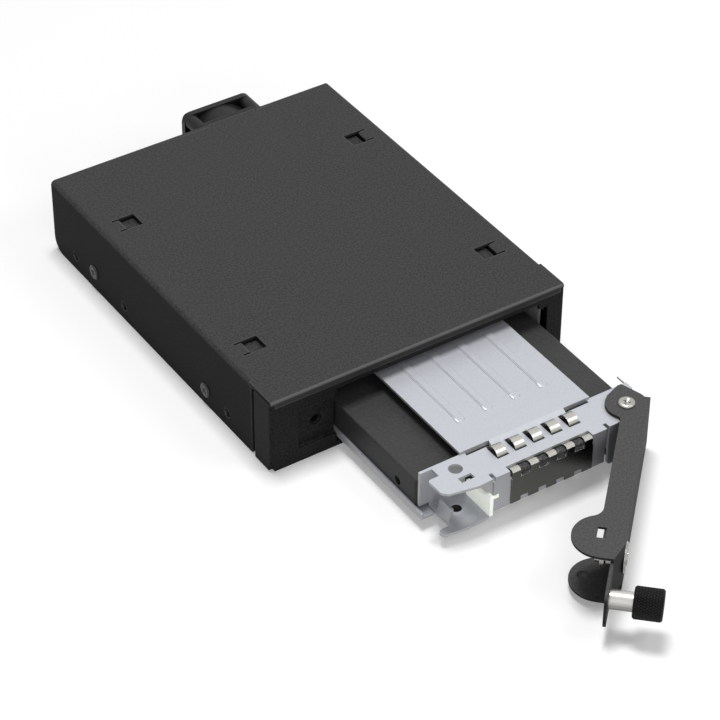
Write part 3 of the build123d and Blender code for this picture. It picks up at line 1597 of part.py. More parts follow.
with BuildPart() as cam_nut:
    with BuildSketch(lever_side(cam_outer - cam_thickness)) as cam_nut_plan:
        with Locations((-lock_u, lock_z)):
            RegularPolygon(cam_nut_half, 6, major_radius=False)
            Circle(cam_stub_r, mode=Mode.SUBTRACT)
    extrude(amount=-cam_nut_height)
cam_nut.part.label = "cam_nut"
export_step(cam_nut.part, "parts/cam_nut.step")

# Thumbscrew: a ferrule on the tab, the screw with its collar, a washer and the knob
ferrule_end = tab_outer + ferrule_length
washer_v = ferrule_end - small_washer_back
washer_end = washer_v + small_washer
with BuildPart() as thumbscrew_ferrule:
    with BuildSketch(lever_side(tab_outer)) as ferrule_plan:
        with Locations((-screw_u, lock_z)):
            Circle(ferrule_r)
            Circle(screw_r + pin_gap, mode=Mode.SUBTRACT)
    extrude(amount=ferrule_length)
    with BuildSketch(lever_side(tab_outer + ferrule_floor)) as ferrule_room:
        with Locations((-screw_u, lock_z)):
            Circle(ferrule_bore_r)
    extrude(amount=ferrule_length - ferrule_floor, mode=Mode.SUBTRACT)
thumbscrew_ferrule.part.label = "thumbscrew_ferrule"
export_step(thumbscrew_ferrule.part, "parts/thumbscrew_ferrule.step")

with BuildPart() as thumbscrew_washer:
    with BuildSketch(lever_side(washer_v)) as washer_ring:
        with Locations((-screw_u, lock_z)):
            Circle(ferrule_bore_r - pin_gap)
            Circle(screw_r + screw_gap, mode=Mode.SUBTRACT)
    extrude(amount=small_washer)
thumbscrew_washer.part.label = "thumbscrew_washer"
export_step(thumbscrew_washer.part, "parts/thumbscrew_washer.step")

knob_start = ferrule_end - knob_overlap
knob_seat = knob_start + knob_bore_depth
screw_tip = tab_outer - lever_wall
with BuildPart() as thumbscrew:
    with BuildSketch(lever_side(screw_tip)) as screw_plan:
        with Locations((-screw_u, lock_z)):
            Circle(screw_r)
    extrude(amount=washer_end - screw_tip)
    with BuildSketch(lever_side(washer_end)) as collar_plan:
        with Locations((-screw_u, lock_z)):
            Circle(collar_r)
    extrude(amount=knob_seat - washer_end)
    with BuildSketch(lever_side(knob_seat)) as stub_plan:
        with Locations((-screw_u, lock_z)):
            Circle(knob_stub_r)
    extrude(amount=knob_stub)
thumbscrew.part.label = "thumbscrew"
export_step(thumbscrew.part, "parts/thumbscrew.step")

with BuildPart() as thumbscrew_knob:
    with BuildSketch(lever_side(knob_start)) as knob_plan:
        with Locations((-screw_u, lock_z)):
            Circle(knob_r)
    extrude(amount=knob_length)
    knob_rims = thumbscrew_knob.edges().filter_by(GeomType.CIRCLE)
    chamfer(knob_rims, knob_chamfer)
    with BuildSketch(lever_side(knob_start)) as knob_bore:
        with Locations((-screw_u, lock_z)):
            Circle(knob_bore_r)
    extrude(amount=knob_bore_depth, mode=Mode.SUBTRACT)
    with BuildSketch(lever_side(knob_seat)) as stub_bore:
        with Locations((-screw_u, lock_z)):
            Circle(knob_stub_r)
    extrude(amount=knob_stub, mode=Mode.SUBTRACT)
thumbscrew_knob.part.label = "thumbscrew_knob"
export_step(thumbscrew_knob.part, "parts/thumbscrew_knob.step")
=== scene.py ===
import math

import bmesh
import bpy
from mathutils import Matrix, Vector


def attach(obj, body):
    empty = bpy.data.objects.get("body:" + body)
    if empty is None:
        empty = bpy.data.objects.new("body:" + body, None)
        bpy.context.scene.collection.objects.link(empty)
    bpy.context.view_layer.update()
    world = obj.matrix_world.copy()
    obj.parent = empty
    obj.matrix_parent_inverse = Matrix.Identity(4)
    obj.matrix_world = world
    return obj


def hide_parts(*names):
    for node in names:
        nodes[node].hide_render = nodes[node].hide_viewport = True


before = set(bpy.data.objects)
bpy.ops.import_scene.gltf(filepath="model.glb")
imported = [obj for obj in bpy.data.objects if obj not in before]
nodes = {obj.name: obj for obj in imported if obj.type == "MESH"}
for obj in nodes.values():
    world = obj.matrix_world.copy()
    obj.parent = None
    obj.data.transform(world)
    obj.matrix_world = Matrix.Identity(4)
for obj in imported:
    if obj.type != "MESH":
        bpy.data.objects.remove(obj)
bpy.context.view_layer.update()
mm = 0.001
print("rack loaded:", len(nodes), "parts")


# viewpoint

viewer = {
    "azimuth": -33.542,
    "elevation": 38.851,
    "roll": 0.34,
    "distance": 833.44 * mm,
    "target": (-10.01 * mm, 16.75 * mm, 12.0 * mm),
    "lens": 142.985,
    "sensor": 36.0,
}


def placeCamera(v):
    azimuth, elevation, roll = (math.radians(v[k]) for k in ("azimuth", "elevation", "roll"))
    back = Vector((
        math.sin(azimuth) * math.cos(elevation),
        -math.cos(azimuth) * math.cos(elevation),
        math.sin(elevation),
    ))
    right = (-back).cross(Vector((0, 0, 1))).normalized()
    up = right.cross(-back)
    across = right * math.cos(roll) + up * math.sin(roll)
    upward = up * math.cos(roll) - right * math.sin(roll)
    data = bpy.data.cameras.new("viewer")
    data.lens = v["lens"]
    data.sensor_width = v["sensor"]
    data.sensor_height = v["sensor"]
    data.clip_end = 20
    camera = bpy.data.objects.new("viewer", data)
    bpy.context.scene.collection.objects.link(camera)
    turn = Matrix((across, upward, back)).transposed().to_4x4()
    turn.translation = Vector(v["target"]) + back * v["distance"]
    camera.matrix_world = turn
    bpy.context.scene.camera = camera


placeCamera(viewer)
bpy.context.scene.view_settings.view_transform = "Standard"
print("camera placed")


# node helpers, each material starts from these

def startFinish(name):
    material = bpy.data.materials.new(name)
    material.use_nodes = True
    tree = material.node_tree
    return material, tree, tree.nodes["Principled BSDF"]


def addNode(tree, kind, **settings):
    made = tree.nodes.new(kind)
    for key, value in settings.items():
        setattr(made, key, value)
    return made


def objectPoint(tree, stretch=(1, 1, 1), turn=(0, 0, 0)):
    place = addNode(tree, "ShaderNodeTexCoord")
    mapping = addNode(tree, "ShaderNodeMapping")
    mapping.inputs["Scale"].default_value = stretch
    mapping.inputs["Rotation"].default_value = turn
    tree.links.new(place.outputs["Object"], mapping.inputs["Vector"])
    return mapping.outputs["Vector"]


def grain(tree, point, size, detail=3.0, roughness=0.6):
    noise = addNode(tree, "ShaderNodeTexNoise")
    noise.inputs["Scale"].default_value = 1 / size
    noise.inputs["Detail"].default_value = detail
    noise.inputs["Roughness"].default_value = roughness
    tree.links.new(point, noise.inputs["Vector"])
    return noise.outputs["Fac"]


def ramp(tree, value, stops):
    band = addNode(tree, "ShaderNodeValToRGB")
    while len(band.color_ramp.elements) < len(stops):
        band.color_ramp.elements.new(0.5)
    for element, (place, colour) in zip(band.color_ramp.elements, stops):
        element.position = place
        element.color = (*colour, 1)
    tree.links.new(value, band.inputs["Fac"])
    return band.outputs["Color"]


def mixColour(tree, share, first, second, blend="MIX"):
    mixer = addNode(tree, "ShaderNodeMix", data_type="RGBA", blend_type=blend)
    for place, value in ((0, share), (6, first), (7, second)):
        socket = mixer.inputs[place]
        if hasattr(value, "is_output"):
            tree.links.new(value, socket)
        elif isinstance(value, (int, float)):
            socket.default_value = value
        else:
            socket.default_value = (*value, 1)
    return mixer.outputs[2]


def spread(tree, value, low, high, fromLow=0.3, fromHigh=0.7):
    mapped = addNode(tree, "ShaderNodeMapRange")
    mapped.inputs["From Min"].default_value = fromLow
    mapped.inputs["From Max"].default_value = fromHigh
    mapped.inputs["To Min"].default_value = low
    mapped.inputs["To Max"].default_value = high
    tree.links.new(value, mapped.inputs["Value"])
    return mapped.outputs["Result"]


def softEdges(tree, radius):
    bevel = addNode(tree, "ShaderNodeBevel", samples=4)
    bevel.inputs["Radius"].default_value = radius
    return bevel.outputs["Normal"]


def edgeShare(tree, rounded, low, high):
    face = addNode(tree, "ShaderNodeNewGeometry")
    dot = addNode(tree, "ShaderNodeVectorMath", operation="DOT_PRODUCT")
    tree.links.new(rounded, dot.inputs[0])
    tree.links.new(face.outputs["Normal"], dot.inputs[1])
    return spread(tree, dot.outputs["Value"], 1, 0, low, high)


def relief(tree, height, strength, depth, normal=None):
    bump = addNode(tree, "ShaderNodeBump")
    bump.inputs["Strength"].default_value = strength
    bump.inputs["Distance"].default_value = depth
    tree.links.new(height, bump.inputs["Height"])
    if normal is not None:
        tree.links.new(normal, bump.inputs["Normal"])
    return bump.outputs["Normal"]


def upwardShare(tree, low, high):
    face = addNode(tree, "ShaderNodeNewGeometry")
    split = addNode(tree, "ShaderNodeSeparateXYZ")
    tree.links.new(face.outputs["Normal"], split.inputs[0])
    return spread(tree, split.outputs["Z"], 0, 1, low, high)


paintedLipHighlightBand = [  # painted highlight: how far a face looks up, and how strongly it takes the lip's highlight colour
    (0.0, (0.3, 0.3, 0.3)),
    (0.35, (1, 1, 1)),
    (0.9, (1, 1, 1)),
    (0.99, (0, 0, 0)),
]


def paintedLipHighlightShare(tree):
    face = addNode(tree, "ShaderNodeNewGeometry")
    split = addNode(tree, "ShaderNodeSeparateXYZ")
    tree.links.new(face.outputs["Normal"], split.inputs[0])
    upward = ramp(tree, split.outputs["Z"], paintedLipHighlightBand)
    share = addNode(tree, "ShaderNodeMath", operation="MULTIPLY")
    tree.links.new(upward, share.inputs[0])
    tree.links.new(spread(tree, split.outputs["Y"], 1, 0, -0.5, -0.1), share.inputs[1])
    return share.outputs[0]


# painted and moulded finishes

def powderCoat(name, coat):
    material, tree, shader = startFinish(name)
    point = objectPoint(tree)
    fine = grain(tree, point, coat["grain"], 2.0)
    broad = grain(tree, point, coat["grain"] * coat["broad"], 2.0)
    base = ramp(tree, fine, [(0.38, coat["dark"]), (0.62, coat["light"])])
    base = mixColour(tree, spread(tree, broad, 0.0, coat["mottle"]), base, coat["haze"])
    rounded = softEdges(tree, coat["edge"])
    edge = edgeShare(tree, rounded, *coat["edgeRange"])
    worn = spread(tree, edge, 0.0, coat["wear"], 0.0, 1.0)
    base = mixColour(tree, worn, base, coat["wearColour"])
    # painted shade: faces that don't look up get a darker coat colour and less gloss, by face direction alone
    upward = upwardShare(tree, 0.0, 0.5)
    shade = spread(tree, upward, coat["wallShade"], 1.0, 0.0, 1.0)
    base = mixColour(tree, 1.0, base, shade, "MULTIPLY")
    # painted highlight: front-facing bends and the lip's face take a lighter colour by face direction
    if "paintedLipHighlight" in coat:
        base = mixColour(tree, paintedLipHighlightShare(tree), base, coat["paintedLipHighlight"])
    tree.links.new(base, shader.inputs["Base Color"])
    tree.links.new(spread(tree, fine, *coat["roughness"]), shader.inputs["Roughness"])
    raised = relief(tree, fine, coat["bump"], coat["grain"] * coat["depth"], rounded)
    tree.links.new(raised, shader.inputs["Normal"])
    gloss = spread(tree, upward, coat["wallGloss"], coat["gloss"], 0.0, 1.0)
    shine = addNode(tree, "ShaderNodeMath", operation="ADD")
    tree.links.new(gloss, shine.inputs[0])
    tree.links.new(spread(tree, edge, 0.0, coat["edgeGloss"], 0.0, 1.0), shine.inputs[1])
    tree.links.new(shine.outputs[0], shader.inputs["Specular IOR Level"])
    return material


coatBase = {
    "grain": 0.62 * mm,
    "dark": (0.016, 0.016, 0.016),
    "light": (0.052, 0.052, 0.052),
    "haze": (0.040, 0.040, 0.040),
    "broad": 26,
    "mottle": 0.25,
    "edge": 0.6 * mm,
    "edgeRange": (0.80, 0.985),
    "wear": 0.4,
    "wearColour": (0.085, 0.085, 0.084),
    "roughness": (0.48, 0.62),
    "bump": 0.4,
    "depth": 0.12,
    "gloss": 0.2,
    "edgeGloss": 0.6,
    # painted shade on upright faces: their coat colour is multiplied by wallShade, their gloss falls to
    # wallGloss
    "wallShade": 0.42,
    "wallGloss": 0.03,
}
coverCoat = dict(coatBase, paintedLipHighlight=(0.115, 0.115, 0.114))  # painted highlight on the bend and face of the front lip
panelCoat = dict(
    coatBase,
    edge=0.3 * mm,
    wear=0.25,
    edgeGloss=0.2,
    wallShade=0.45,
    wallGloss=0.05,
)
leverCoat = dict(
    coatBase,
    dark=(0.050, 0.050, 0.050),
    light=(0.092, 0.092, 0.091),
    haze=(0.075, 0.075, 0.075),
    wear=0.18,
    wearColour=(0.12, 0.12, 0.118),
    grain=0.55 * mm,
    edge=0.25 * mm,
    edgeGloss=0.2,
)
driveCoat = dict(
    coatBase,
    dark=(0.036, 0.036, 0.037),
    light=(0.054, 0.054, 0.055),
    haze=(0.056, 0.056, 0.056),
    grain=0.6 * mm,
    bump=0.16,
    edge=0.4 * mm,
    wear=0.2,
    roughness=(0.42, 0.52),
    wallShade=0.8,
    wallGloss=0.1,
)
blackOxide = dict(
    coatBase,
    grain=0.2 * mm,
    dark=(0.007, 0.007, 0.007),
    light=(0.013, 0.013, 0.013),
    haze=(0.012, 0.012, 0.012),
    edge=0.12 * mm,
    bump=0.1,
    roughness=(0.3, 0.42),
    gloss=0.4,
    wallGloss=0.3,
    wallShade=0.8,
    wear=0.5,
    wearColour=(0.06, 0.058, 0.056),
)


def moulded(name, plastic):
    material, tree, shader = startFinish(name)
    point = objectPoint(tree)
    fine = grain(tree, point, plastic["grain"], 2.0)
    broad = grain(tree, point, plastic["grain"] * plastic["broad"], 2.0)
    base = ramp(tree, broad, [(0.3, plastic["dark"]), (0.7, plastic["light"])])
    rounded = softEdges(tree, plastic["edge"])
    tree.links.new(base, shader.inputs["Base Color"])
    tree.links.new(spread(tree, fine, *plastic["roughness"]), shader.inputs["Roughness"])
    raised = relief(tree, fine, plastic["bump"], plastic["grain"] * plastic["depth"], rounded)
    tree.links.new(raised, shader.inputs["Normal"])
    shader.inputs["Specular IOR Level"].default_value = plastic["gloss"]
    return material


fanPlastic = {
    "grain": 0.12 * mm,
    "broad": 30,
    "depth": 0.1,
    "dark": (0.007, 0.007, 0.0075),
    "light": (0.012, 0.012, 0.0125),
    "edge": 0.25 * mm,
    "roughness": (0.36, 0.48),
    "bump": 0.15,
    "gloss": 0.22,
}
knobPlastic = dict(
    fanPlastic,
    dark=(0.005, 0.005, 0.0053),
    light=(0.009, 0.009, 0.0093),
    edge=0.1 * mm,
    gloss=0.14,
)
filmPlastic = dict(
    fanPlastic,
    dark=(0.035, 0.035, 0.036),
    light=(0.05, 0.05, 0.051),
    roughness=(0.5, 0.6),
)
washerPlastic = dict(fanPlastic, dark=(0.66, 0.66, 0.64), light=(0.76, 0.76, 0.74))
padRubber = dict(
    fanPlastic,
    dark=(0.24, 0.25, 0.27),
    light=(0.36, 0.37, 0.39),
    grain=0.5 * mm,
    roughness=(0.8, 0.92),
    bump=0.5,
)


# bare metals

def bareMetal(name, metal):
    material, tree, shader = startFinish(name)
    lines = grain(tree, objectPoint(tree, metal["stretch"]), metal["line"], 4.0)
    cloud = grain(tree, objectPoint(tree), metal["line"] * metal["broad"], 3.0)
    speck = grain(tree, objectPoint(tree), metal["speck"], 2.0)
    base = ramp(tree, lines, [(0.35, metal["dark"]), (0.65, metal["light"])])
    base = mixColour(tree, spread(tree, cloud, 0.0, metal["cloud"]), base, metal["haze"])
    # painted light and shade: upright faces take their own lighter or darker tone, by face direction alone
    if "wall" in metal:
        base = mixColour(tree, upwardShare(tree, 0.05, 0.5), metal["wall"], base)
    rounded = softEdges(tree, metal["edge"])
    edge = edgeShare(tree, rounded, *metal["edgeRange"])
    worn = spread(tree, edge, 0.0, metal["wear"], 0.0, 1.0)
    base = mixColour(tree, worn, base, metal["wearColour"])
    tree.links.new(base, shader.inputs["Base Color"])
    tree.links.new(spread(tree, speck, *metal["roughness"]), shader.inputs["Roughness"])
    raised = relief(tree, lines, metal["bump"], metal["line"] * metal["depth"], rounded)
    tree.links.new(raised, shader.inputs["Normal"])
    shader.inputs["Metallic"].default_value = metal["metallic"]
    return material


zincSheet = {
    "stretch": (1, 0.12, 1),
    "line": 0.16 * mm,
    "speck": 0.5 * mm,
    "dark": (0.49, 0.505, 0.55),
    "light": (0.585, 0.60, 0.645),
    "haze": (0.54, 0.555, 0.60),
    # painted shade: upright faces of the sheet darker than its tops
    "wall": (0.42, 0.425, 0.447),
    "cloud": 0.5,
    "edge": 0.2 * mm,
    "wear": 0.4,
    "wearColour": (0.80, 0.81, 0.84),
    "roughness": (0.38, 0.5),
    "bump": 0.12,
    "broad": 60,
    "depth": 0.1,
    "edgeRange": (0.82, 0.985),
    "metallic": 0.28,
}
railSteel = dict(
    zincSheet,
    dark=(0.52, 0.52, 0.52),
    light=(0.62, 0.62, 0.62),
    haze=(0.58, 0.58, 0.58),
    # painted light: upright faces of the rails lighter than their tops
    wall=(0.85, 0.85, 0.85),
)
springSteel = {
    "stretch": (1, 0.2, 1),
    "line": 0.12 * mm,
    "speck": 0.3 * mm,
    "dark": (0.43, 0.418, 0.392),
    "light": (0.53, 0.517, 0.486),
    "haze": (0.48, 0.467, 0.437),
    "cloud": 0.4,
    "edge": 0.12 * mm,
    "wear": 0.3,
    "wearColour": (0.75, 0.74, 0.70),
    "roughness": (0.28, 0.4),
    "bump": 0.08,
    "broad": 60,
    "depth": 0.1,
    "edgeRange": (0.82, 0.985),
    "metallic": 0.8,
}
stripSteel = dict(
    springSteel,
    # painted shade: upright faces of the strip nearly black
    wall=(0.07, 0.07, 0.064),
    roughness=(0.18, 0.3),
    metallic=1.0,
)
screwSteel = dict(
    springSteel,
    stretch=(1, 1, 1),
    dark=(0.34, 0.33, 0.315),
    light=(0.45, 0.44, 0.415),
    haze=(0.39, 0.38, 0.365),
    roughness=(0.26, 0.4),
)
leafSteel = dict(
    springSteel,
    dark=(0.66, 0.65, 0.63),
    light=(0.76, 0.75, 0.73),
    haze=(0.72, 0.71, 0.69),
    metallic=0.2,
)
darkZinc = dict(
    screwSteel,
    dark=(0.02, 0.022, 0.021),
    light=(0.055, 0.058, 0.056),
    haze=(0.04, 0.043, 0.041),
    edge=0.16 * mm,
    wear=0.45,
    wearColour=(0.4, 0.41, 0.4),
)
# painted highlight: a bright finish for the thin beads along the ribs
paintedRibHighlight = dict(
    zincSheet,
    dark=(0.74, 0.75, 0.77),
    light=(0.82, 0.83, 0.85),
    haze=(0.80, 0.81, 0.83),
    wall=(0.74, 0.75, 0.77),
)
nickel = dict(
    springSteel,
    stretch=(1, 1, 1),
    dark=(0.56, 0.55, 0.525),
    light=(0.66, 0.65, 0.63),
    haze=(0.62, 0.61, 0.585),
    # painted shade: upright and lower faces darker than the tops
    wall=(0.28, 0.272, 0.265),
    roughness=(0.2, 0.28),
)
lockChrome = dict(
    nickel,
    dark=(0.34, 0.336, 0.325),
    light=(0.44, 0.436, 0.425),
    haze=(0.39, 0.386, 0.375),
    roughness=(0.16, 0.26),
)
brass = dict(
    screwSteel,
    dark=(0.58, 0.43, 0.20),
    light=(0.70, 0.54, 0.28),
    haze=(0.66, 0.5, 0.25),
    wearColour=(0.8, 0.66, 0.4),
)
gold = dict(
    brass,
    dark=(0.75, 0.55, 0.22),
    light=(0.85, 0.65, 0.3),
    roughness=(0.2, 0.3),
)


def foam(name, f):
    material, tree, shader = startFinish(name)
    point = objectPoint(tree)
    cells = addNode(tree, "ShaderNodeTexVoronoi")
    cells.inputs["Scale"].default_value = 1 / f["cell"]
    tree.links.new(point, cells.inputs["Vector"])
    fine = grain(tree, point, f["cell"] * 1.7, 3.0)
    base = ramp(tree, fine, [(0.36, f["dark"]), (0.58, f["light"]), (0.72, f["speck"])])
    tree.links.new(base, shader.inputs["Base Color"])
    tree.links.new(spread(tree, fine, 0.75, 0.9), shader.inputs["Roughness"])
    tree.links.new(relief(tree, cells.outputs["Distance"], 0.6, f["cell"] * 0.4), shader.inputs["Normal"])
    return material


# dark foam colours; the piece made of it also stands in for shade behind the finger strip
sealFoamAndShade = {
    "cell": 0.3 * mm,
    "dark": (0.014, 0.014, 0.015),
    "light": (0.075, 0.075, 0.078),
    "speck": (0.30, 0.30, 0.31),
}


def boardLaminate(name, board):
    material, tree, shader = startFinish(name)
    point = objectPoint(tree)
    weave = grain(tree, point, board["weave"], 2.0)
    tracks = addNode(tree, "ShaderNodeTexVoronoi", feature="DISTANCE_TO_EDGE")
    tracks.inputs["Scale"].default_value = 1 / board["track"]
    tree.links.new(point, tracks.inputs["Vector"])
    base = ramp(tree, weave, [(0.3, board["dark"]), (0.7, board["light"])])
    line = spread(tree, tracks.outputs["Distance"], 1, 0, 0.04, 0.1)
    base = mixColour(tree, line, base, board["copper"])
    tree.links.new(base, shader.inputs["Base Color"])
    tree.links.new(spread(tree, weave, 0.3, 0.42), shader.inputs["Roughness"])
    tree.links.new(relief(tree, line, 0.2, 0.03 * mm, softEdges(tree, 0.1 * mm)), shader.inputs["Normal"])
    return material


boardMask = {
    "weave": 0.4 * mm,
    "track": 4.0 * mm,
    "dark": (0.012, 0.055, 0.028),
    "light": (0.018, 0.075, 0.038),
    "copper": (0.03, 0.13, 0.06),
}


def clearPlastic(name, clear):
    material, tree, shader = startFinish(name)
    cloud = grain(tree, objectPoint(tree), clear["cloud"], 2.0)
    base = ramp(tree, cloud, [(0.3, clear["dark"]), (0.7, clear["light"])])
    tree.links.new(base, shader.inputs["Base Color"])
    tree.links.new(spread(tree, cloud, 0.12, 0.3), shader.inputs["Roughness"])
    tree.links.new(softEdges(tree, 0.2 * mm), shader.inputs["Normal"])
    shader.inputs["Transmission Weight"].default_value = clear["through"]
    shader.inputs["IOR"].default_value = 1.49
    shader.inputs["Subsurface Weight"].default_value = clear["milk"]
    shader.inputs["Subsurface Radius"].default_value = (1.0, 1.0, 1.0)
    shader.inputs["Subsurface Scale"].default_value = 0.6 * mm
    # painted glow: emission brightens the pipe, no lamp lights it from within
    shader.inputs["Emission Color"].default_value = (*clear["light"], 1)
    shader.inputs["Emission Strength"].default_value = clear["paintedGlow"]
    return material


lightPlastic = {
    "cloud": 1.2 * mm,
    "dark": (0.84, 0.88, 0.80),
    "light": (0.93, 0.95, 0.90),
    "through": 0.1,
    "milk": 0.4,
    "paintedGlow": 0.3,  # painted glow: the pipe gives off light of its own, with no lamp behind it
}

finishes = {
    "coverCoat": powderCoat("coverCoat", coverCoat),
    "panelCoat": powderCoat("panelCoat", panelCoat),
    "leverCoat": powderCoat("leverCoat", leverCoat),
    "driveCoat": powderCoat("driveCoat", driveCoat),
    "blackOxide": powderCoat("blackOxide", blackOxide),
    "zincSheet": bareMetal("zincSheet", zincSheet),
    "darkZinc": bareMetal("darkZinc", darkZinc),
    "paintedRibHighlight": bareMetal("paintedRibHighlight", paintedRibHighlight),
    "leafSteel": bareMetal("leafSteel", leafSteel),
    "railSteel": bareMetal("railSteel", railSteel),
    "springSteel": bareMetal("springSteel", springSteel),
    "stripSteel": bareMetal("stripSteel", stripSteel),
    "screwSteel": bareMetal("screwSteel", screwSteel),
    "nickel": bareMetal("nickel", nickel),
    "lockChrome": bareMetal("lockChrome", lockChrome),
    "brass": bareMetal("brass", brass),
    "gold": bareMetal("gold", gold),
    "fanPlastic": moulded("fanPlastic", fanPlastic),
    "knobPlastic": moulded("knobPlastic", knobPlastic),
    "filmPlastic": moulded("filmPlastic", filmPlastic),
    "washerPlastic": moulded("washerPlastic", washerPlastic),
    "padRubber": moulded("padRubber", padRubber),
    "sealFoamAndShade": foam("sealFoamAndShade", sealFoamAndShade),
    "boardLaminate": boardLaminate("boardLaminate", boardMask),
    "lightPlastic": clearPlastic("lightPlastic", lightPlastic),
}

nodeFinish = {
    "coverCoat": ["top_cover"],
    "panelCoat": ["front_panel", "base_pan", "rear_panel"],
    "leverCoat": ["lever_arm"],
    "driveCoat": ["drive_body"],
    "blackOxide": ["board_screws", "panel_screws", "fan_screws", "lock_nut"],
    "zincSheet": ["tray_bracket", "tray_base"],
    "railSteel": ["left_guide_rail", "right_guide_rail"],
    "springSteel": ["pivot_post", "fan_shaft"],
    "leafSteel": ["side_spring"],
    "stripSteel": ["finger_strip"],
    "screwSteel": [
        "drive_screws", "pivot_screw", "pivot_rivet", "lock_cam", "cam_nut",
        "thumbscrew", "thumbscrew_washer",
    ],
    "darkZinc": ["side_screws"],
    "nickel": ["thumbscrew_ferrule"],
    "lockChrome": ["lock_barrel", "lock_plug"],
    "brass": ["standoffs"],
    "fanPlastic": ["fan_frame", "fan_rotor", "power_port", "signal_port", "drive_receptacle", "drive_plug"],
    "knobPlastic": ["thumbscrew_knob"],
    "filmPlastic": ["insulating_sheet"],
    "washerPlastic": ["lever_washers"],
    "padRubber": ["gap_pad"],
    "boardLaminate": ["backplane_board"],
    "lightPlastic": ["light_pipe"],
}
for finish, names in nodeFinish.items():
    for name in names:
        mesh = nodes[name].data
        mesh.materials.clear()
        mesh.materials.append(finishes[finish])
print("finishes given to", sum(len(names) for names in nodeFinish.values()), "parts")


# pieces made here

def newPiece(name, bm, body, finish, smooth=40):
    mesh = bpy.data.meshes.new(name)
    bmesh.ops.recalc_face_normals(bm, faces=bm.faces)
    for face in bm.faces:
        face.smooth = True
    for edge in bm.edges:
        if len(edge.link_faces) == 2 and edge.calc_face_angle(0) > math.radians(smooth):
            edge.smooth = False
    bm.to_mesh(mesh)
    bm.free()
    piece = bpy.data.objects.new(name, mesh)
    bpy.context.scene.collection.objects.link(piece)
    mesh.materials.append(finishes[finish])
    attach(piece, body)
    return piece


def seat(origin, axis, along):
    third = Vector(axis).normalized()
    first = (Vector(along) - third * third.dot(Vector(along))).normalized()
    place = Matrix((first, third.cross(first), third)).transposed().to_4x4()
    place.translation = Vector(origin) * mm
    return place


def joinLoops(bm, loops, closed=True):
    for low, high in zip(loops, loops[1:]):
        for k in range(len(low)):
            after = (k + 1) % len(low)
            bm.faces.new((low[k], low[after], high[after], high[k]))
    if closed:
        bm.faces.new(loops[0][::-1])
        bm.faces.new(loops[-1])


def ringRows(bm, rows, sides, closed=True):
    loops = [[bm.verts.new(row(k / sides)) for k in range(sides)] for row in rows]
    joinLoops(bm, loops, closed)
    return loops


def polar(radius, share, height):
    angle = 2 * math.pi * share
    return Vector((radius * math.cos(angle), radius * math.sin(angle), height)) * mm


def ring(radius, height):
    return lambda share: polar(radius, share, height)


threadDepth = 0.3  # share of the pitch


def threadWave(height, share, pitch):
    phase = (height / pitch - share) % 1.0
    return 1 - abs(2 * phase - 1)


def crossRecess(screw):
    bm = bmesh.new()
    reach, arm, deep = screw["recess"], screw["recessArm"], screw["recessDepth"]
    top = screw["head"] + 0.3

    def outline(scale, width, height):
        spots = []
        for quarter in range(4):
            turn = Matrix.Rotation(quarter * math.pi / 2, 3, "Z")
            for x, y in ((width, -width), (reach * scale, -width), (reach * scale, width)):
                spots.append(turn @ Vector((x, y, height)) * mm)
        return [bm.verts.new(p) for p in spots]

    upper = outline(1.0, arm, top)
    rim = outline(1.0, arm, screw["head"])
    lower = outline(0.45, arm * 0.8, screw["head"] - deep)
    joinLoops(bm, (upper, rim, lower), closed=False)
    bm.faces.new(upper)
    bm.faces.new(lower[::-1])
    bmesh.ops.recalc_face_normals(bm, faces=bm.faces)
    mesh = bpy.data.meshes.new("recessCutter")
    bm.to_mesh(mesh)
    bm.free()
    return mesh


def screwMesh(screw):
    bm = bmesh.new()
    sides = screw["sides"]
    headRadius, head = screw["headRadius"], screw["head"]
    rows = []
    turns = int(screw["shank"] / screw["pitch"])
    steps = turns * 6
    tip = screw["shankRadius"] * 0.72
    rows.append(ring(tip, -screw["shank"]))
    core = screw["shankRadius"] - threadDepth * screw["pitch"]

    def threadRow(height):
        fade = min(1.0, (screw["shank"] + height) / (0.8 * screw["pitch"]))
        fade = min(fade, max(0.0, -height / (0.5 * screw["pitch"])))

        def row(share):
            wave = threadWave(height, share, screw["pitch"])
            return polar(core + (screw["shankRadius"] - core) * wave * fade, share, height)
        return row

    for k in range(1, steps):
        rows.append(threadRow(-screw["shank"] + screw["shank"] * k / steps))
    rows.append(ring(core, 0))
    rows.append(ring(headRadius - 0.05, 0))
    rows.append(ring(headRadius, 0.08 * head))
    crown = screw["crown"]
    rows.append(ring(headRadius, head * (1 - crown)))
    for k in range(1, 7):
        angle = k / 6 * math.pi / 2
        edge = headRadius * (1 - screw["crownReach"] * (1 - math.cos(angle)))
        rows.append(ring(edge, head * (1 - crown) + head * crown * math.sin(angle)))
    rows.append(ring(headRadius * (1 - screw["crownReach"]) * 0.5, head))
    ringRows(bm, rows, sides)
    bmesh.ops.recalc_face_normals(bm, faces=bm.faces)
    mesh = bpy.data.meshes.new("screwBody")
    bm.to_mesh(mesh)
    bm.free()
    if not screw["recess"]:
        return mesh
    body = bpy.data.objects.new("screwBody", mesh)
    cutter = bpy.data.objects.new("recessCutter", crossRecess(screw))
    for thing in (body, cutter):
        bpy.context.scene.collection.objects.link(thing)
    cut = body.modifiers.new("recess", "BOOLEAN")
    cut.operation = "DIFFERENCE"
    cut.solver = "EXACT"
    cut.object = cutter
    graph = bpy.context.evaluated_depsgraph_get()
    done = bpy.data.meshes.new_from_object(body.evaluated_get(graph))
    bpy.data.objects.remove(body)
    bpy.data.objects.remove(cutter)
    return done


def screwSet(name, screw):
    shape = screwMesh(screw)
    bm = bmesh.new()
    for origin, axis, along in screw["places"]:
        copy = shape.copy()
        copy.transform(seat(origin, axis, along))
        bm.from_mesh(copy)
        bpy.data.meshes.remove(copy)
    piece = newPiece(name, bm, screw["body"], screw["finish"])
    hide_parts(screw["node"])
    return piece


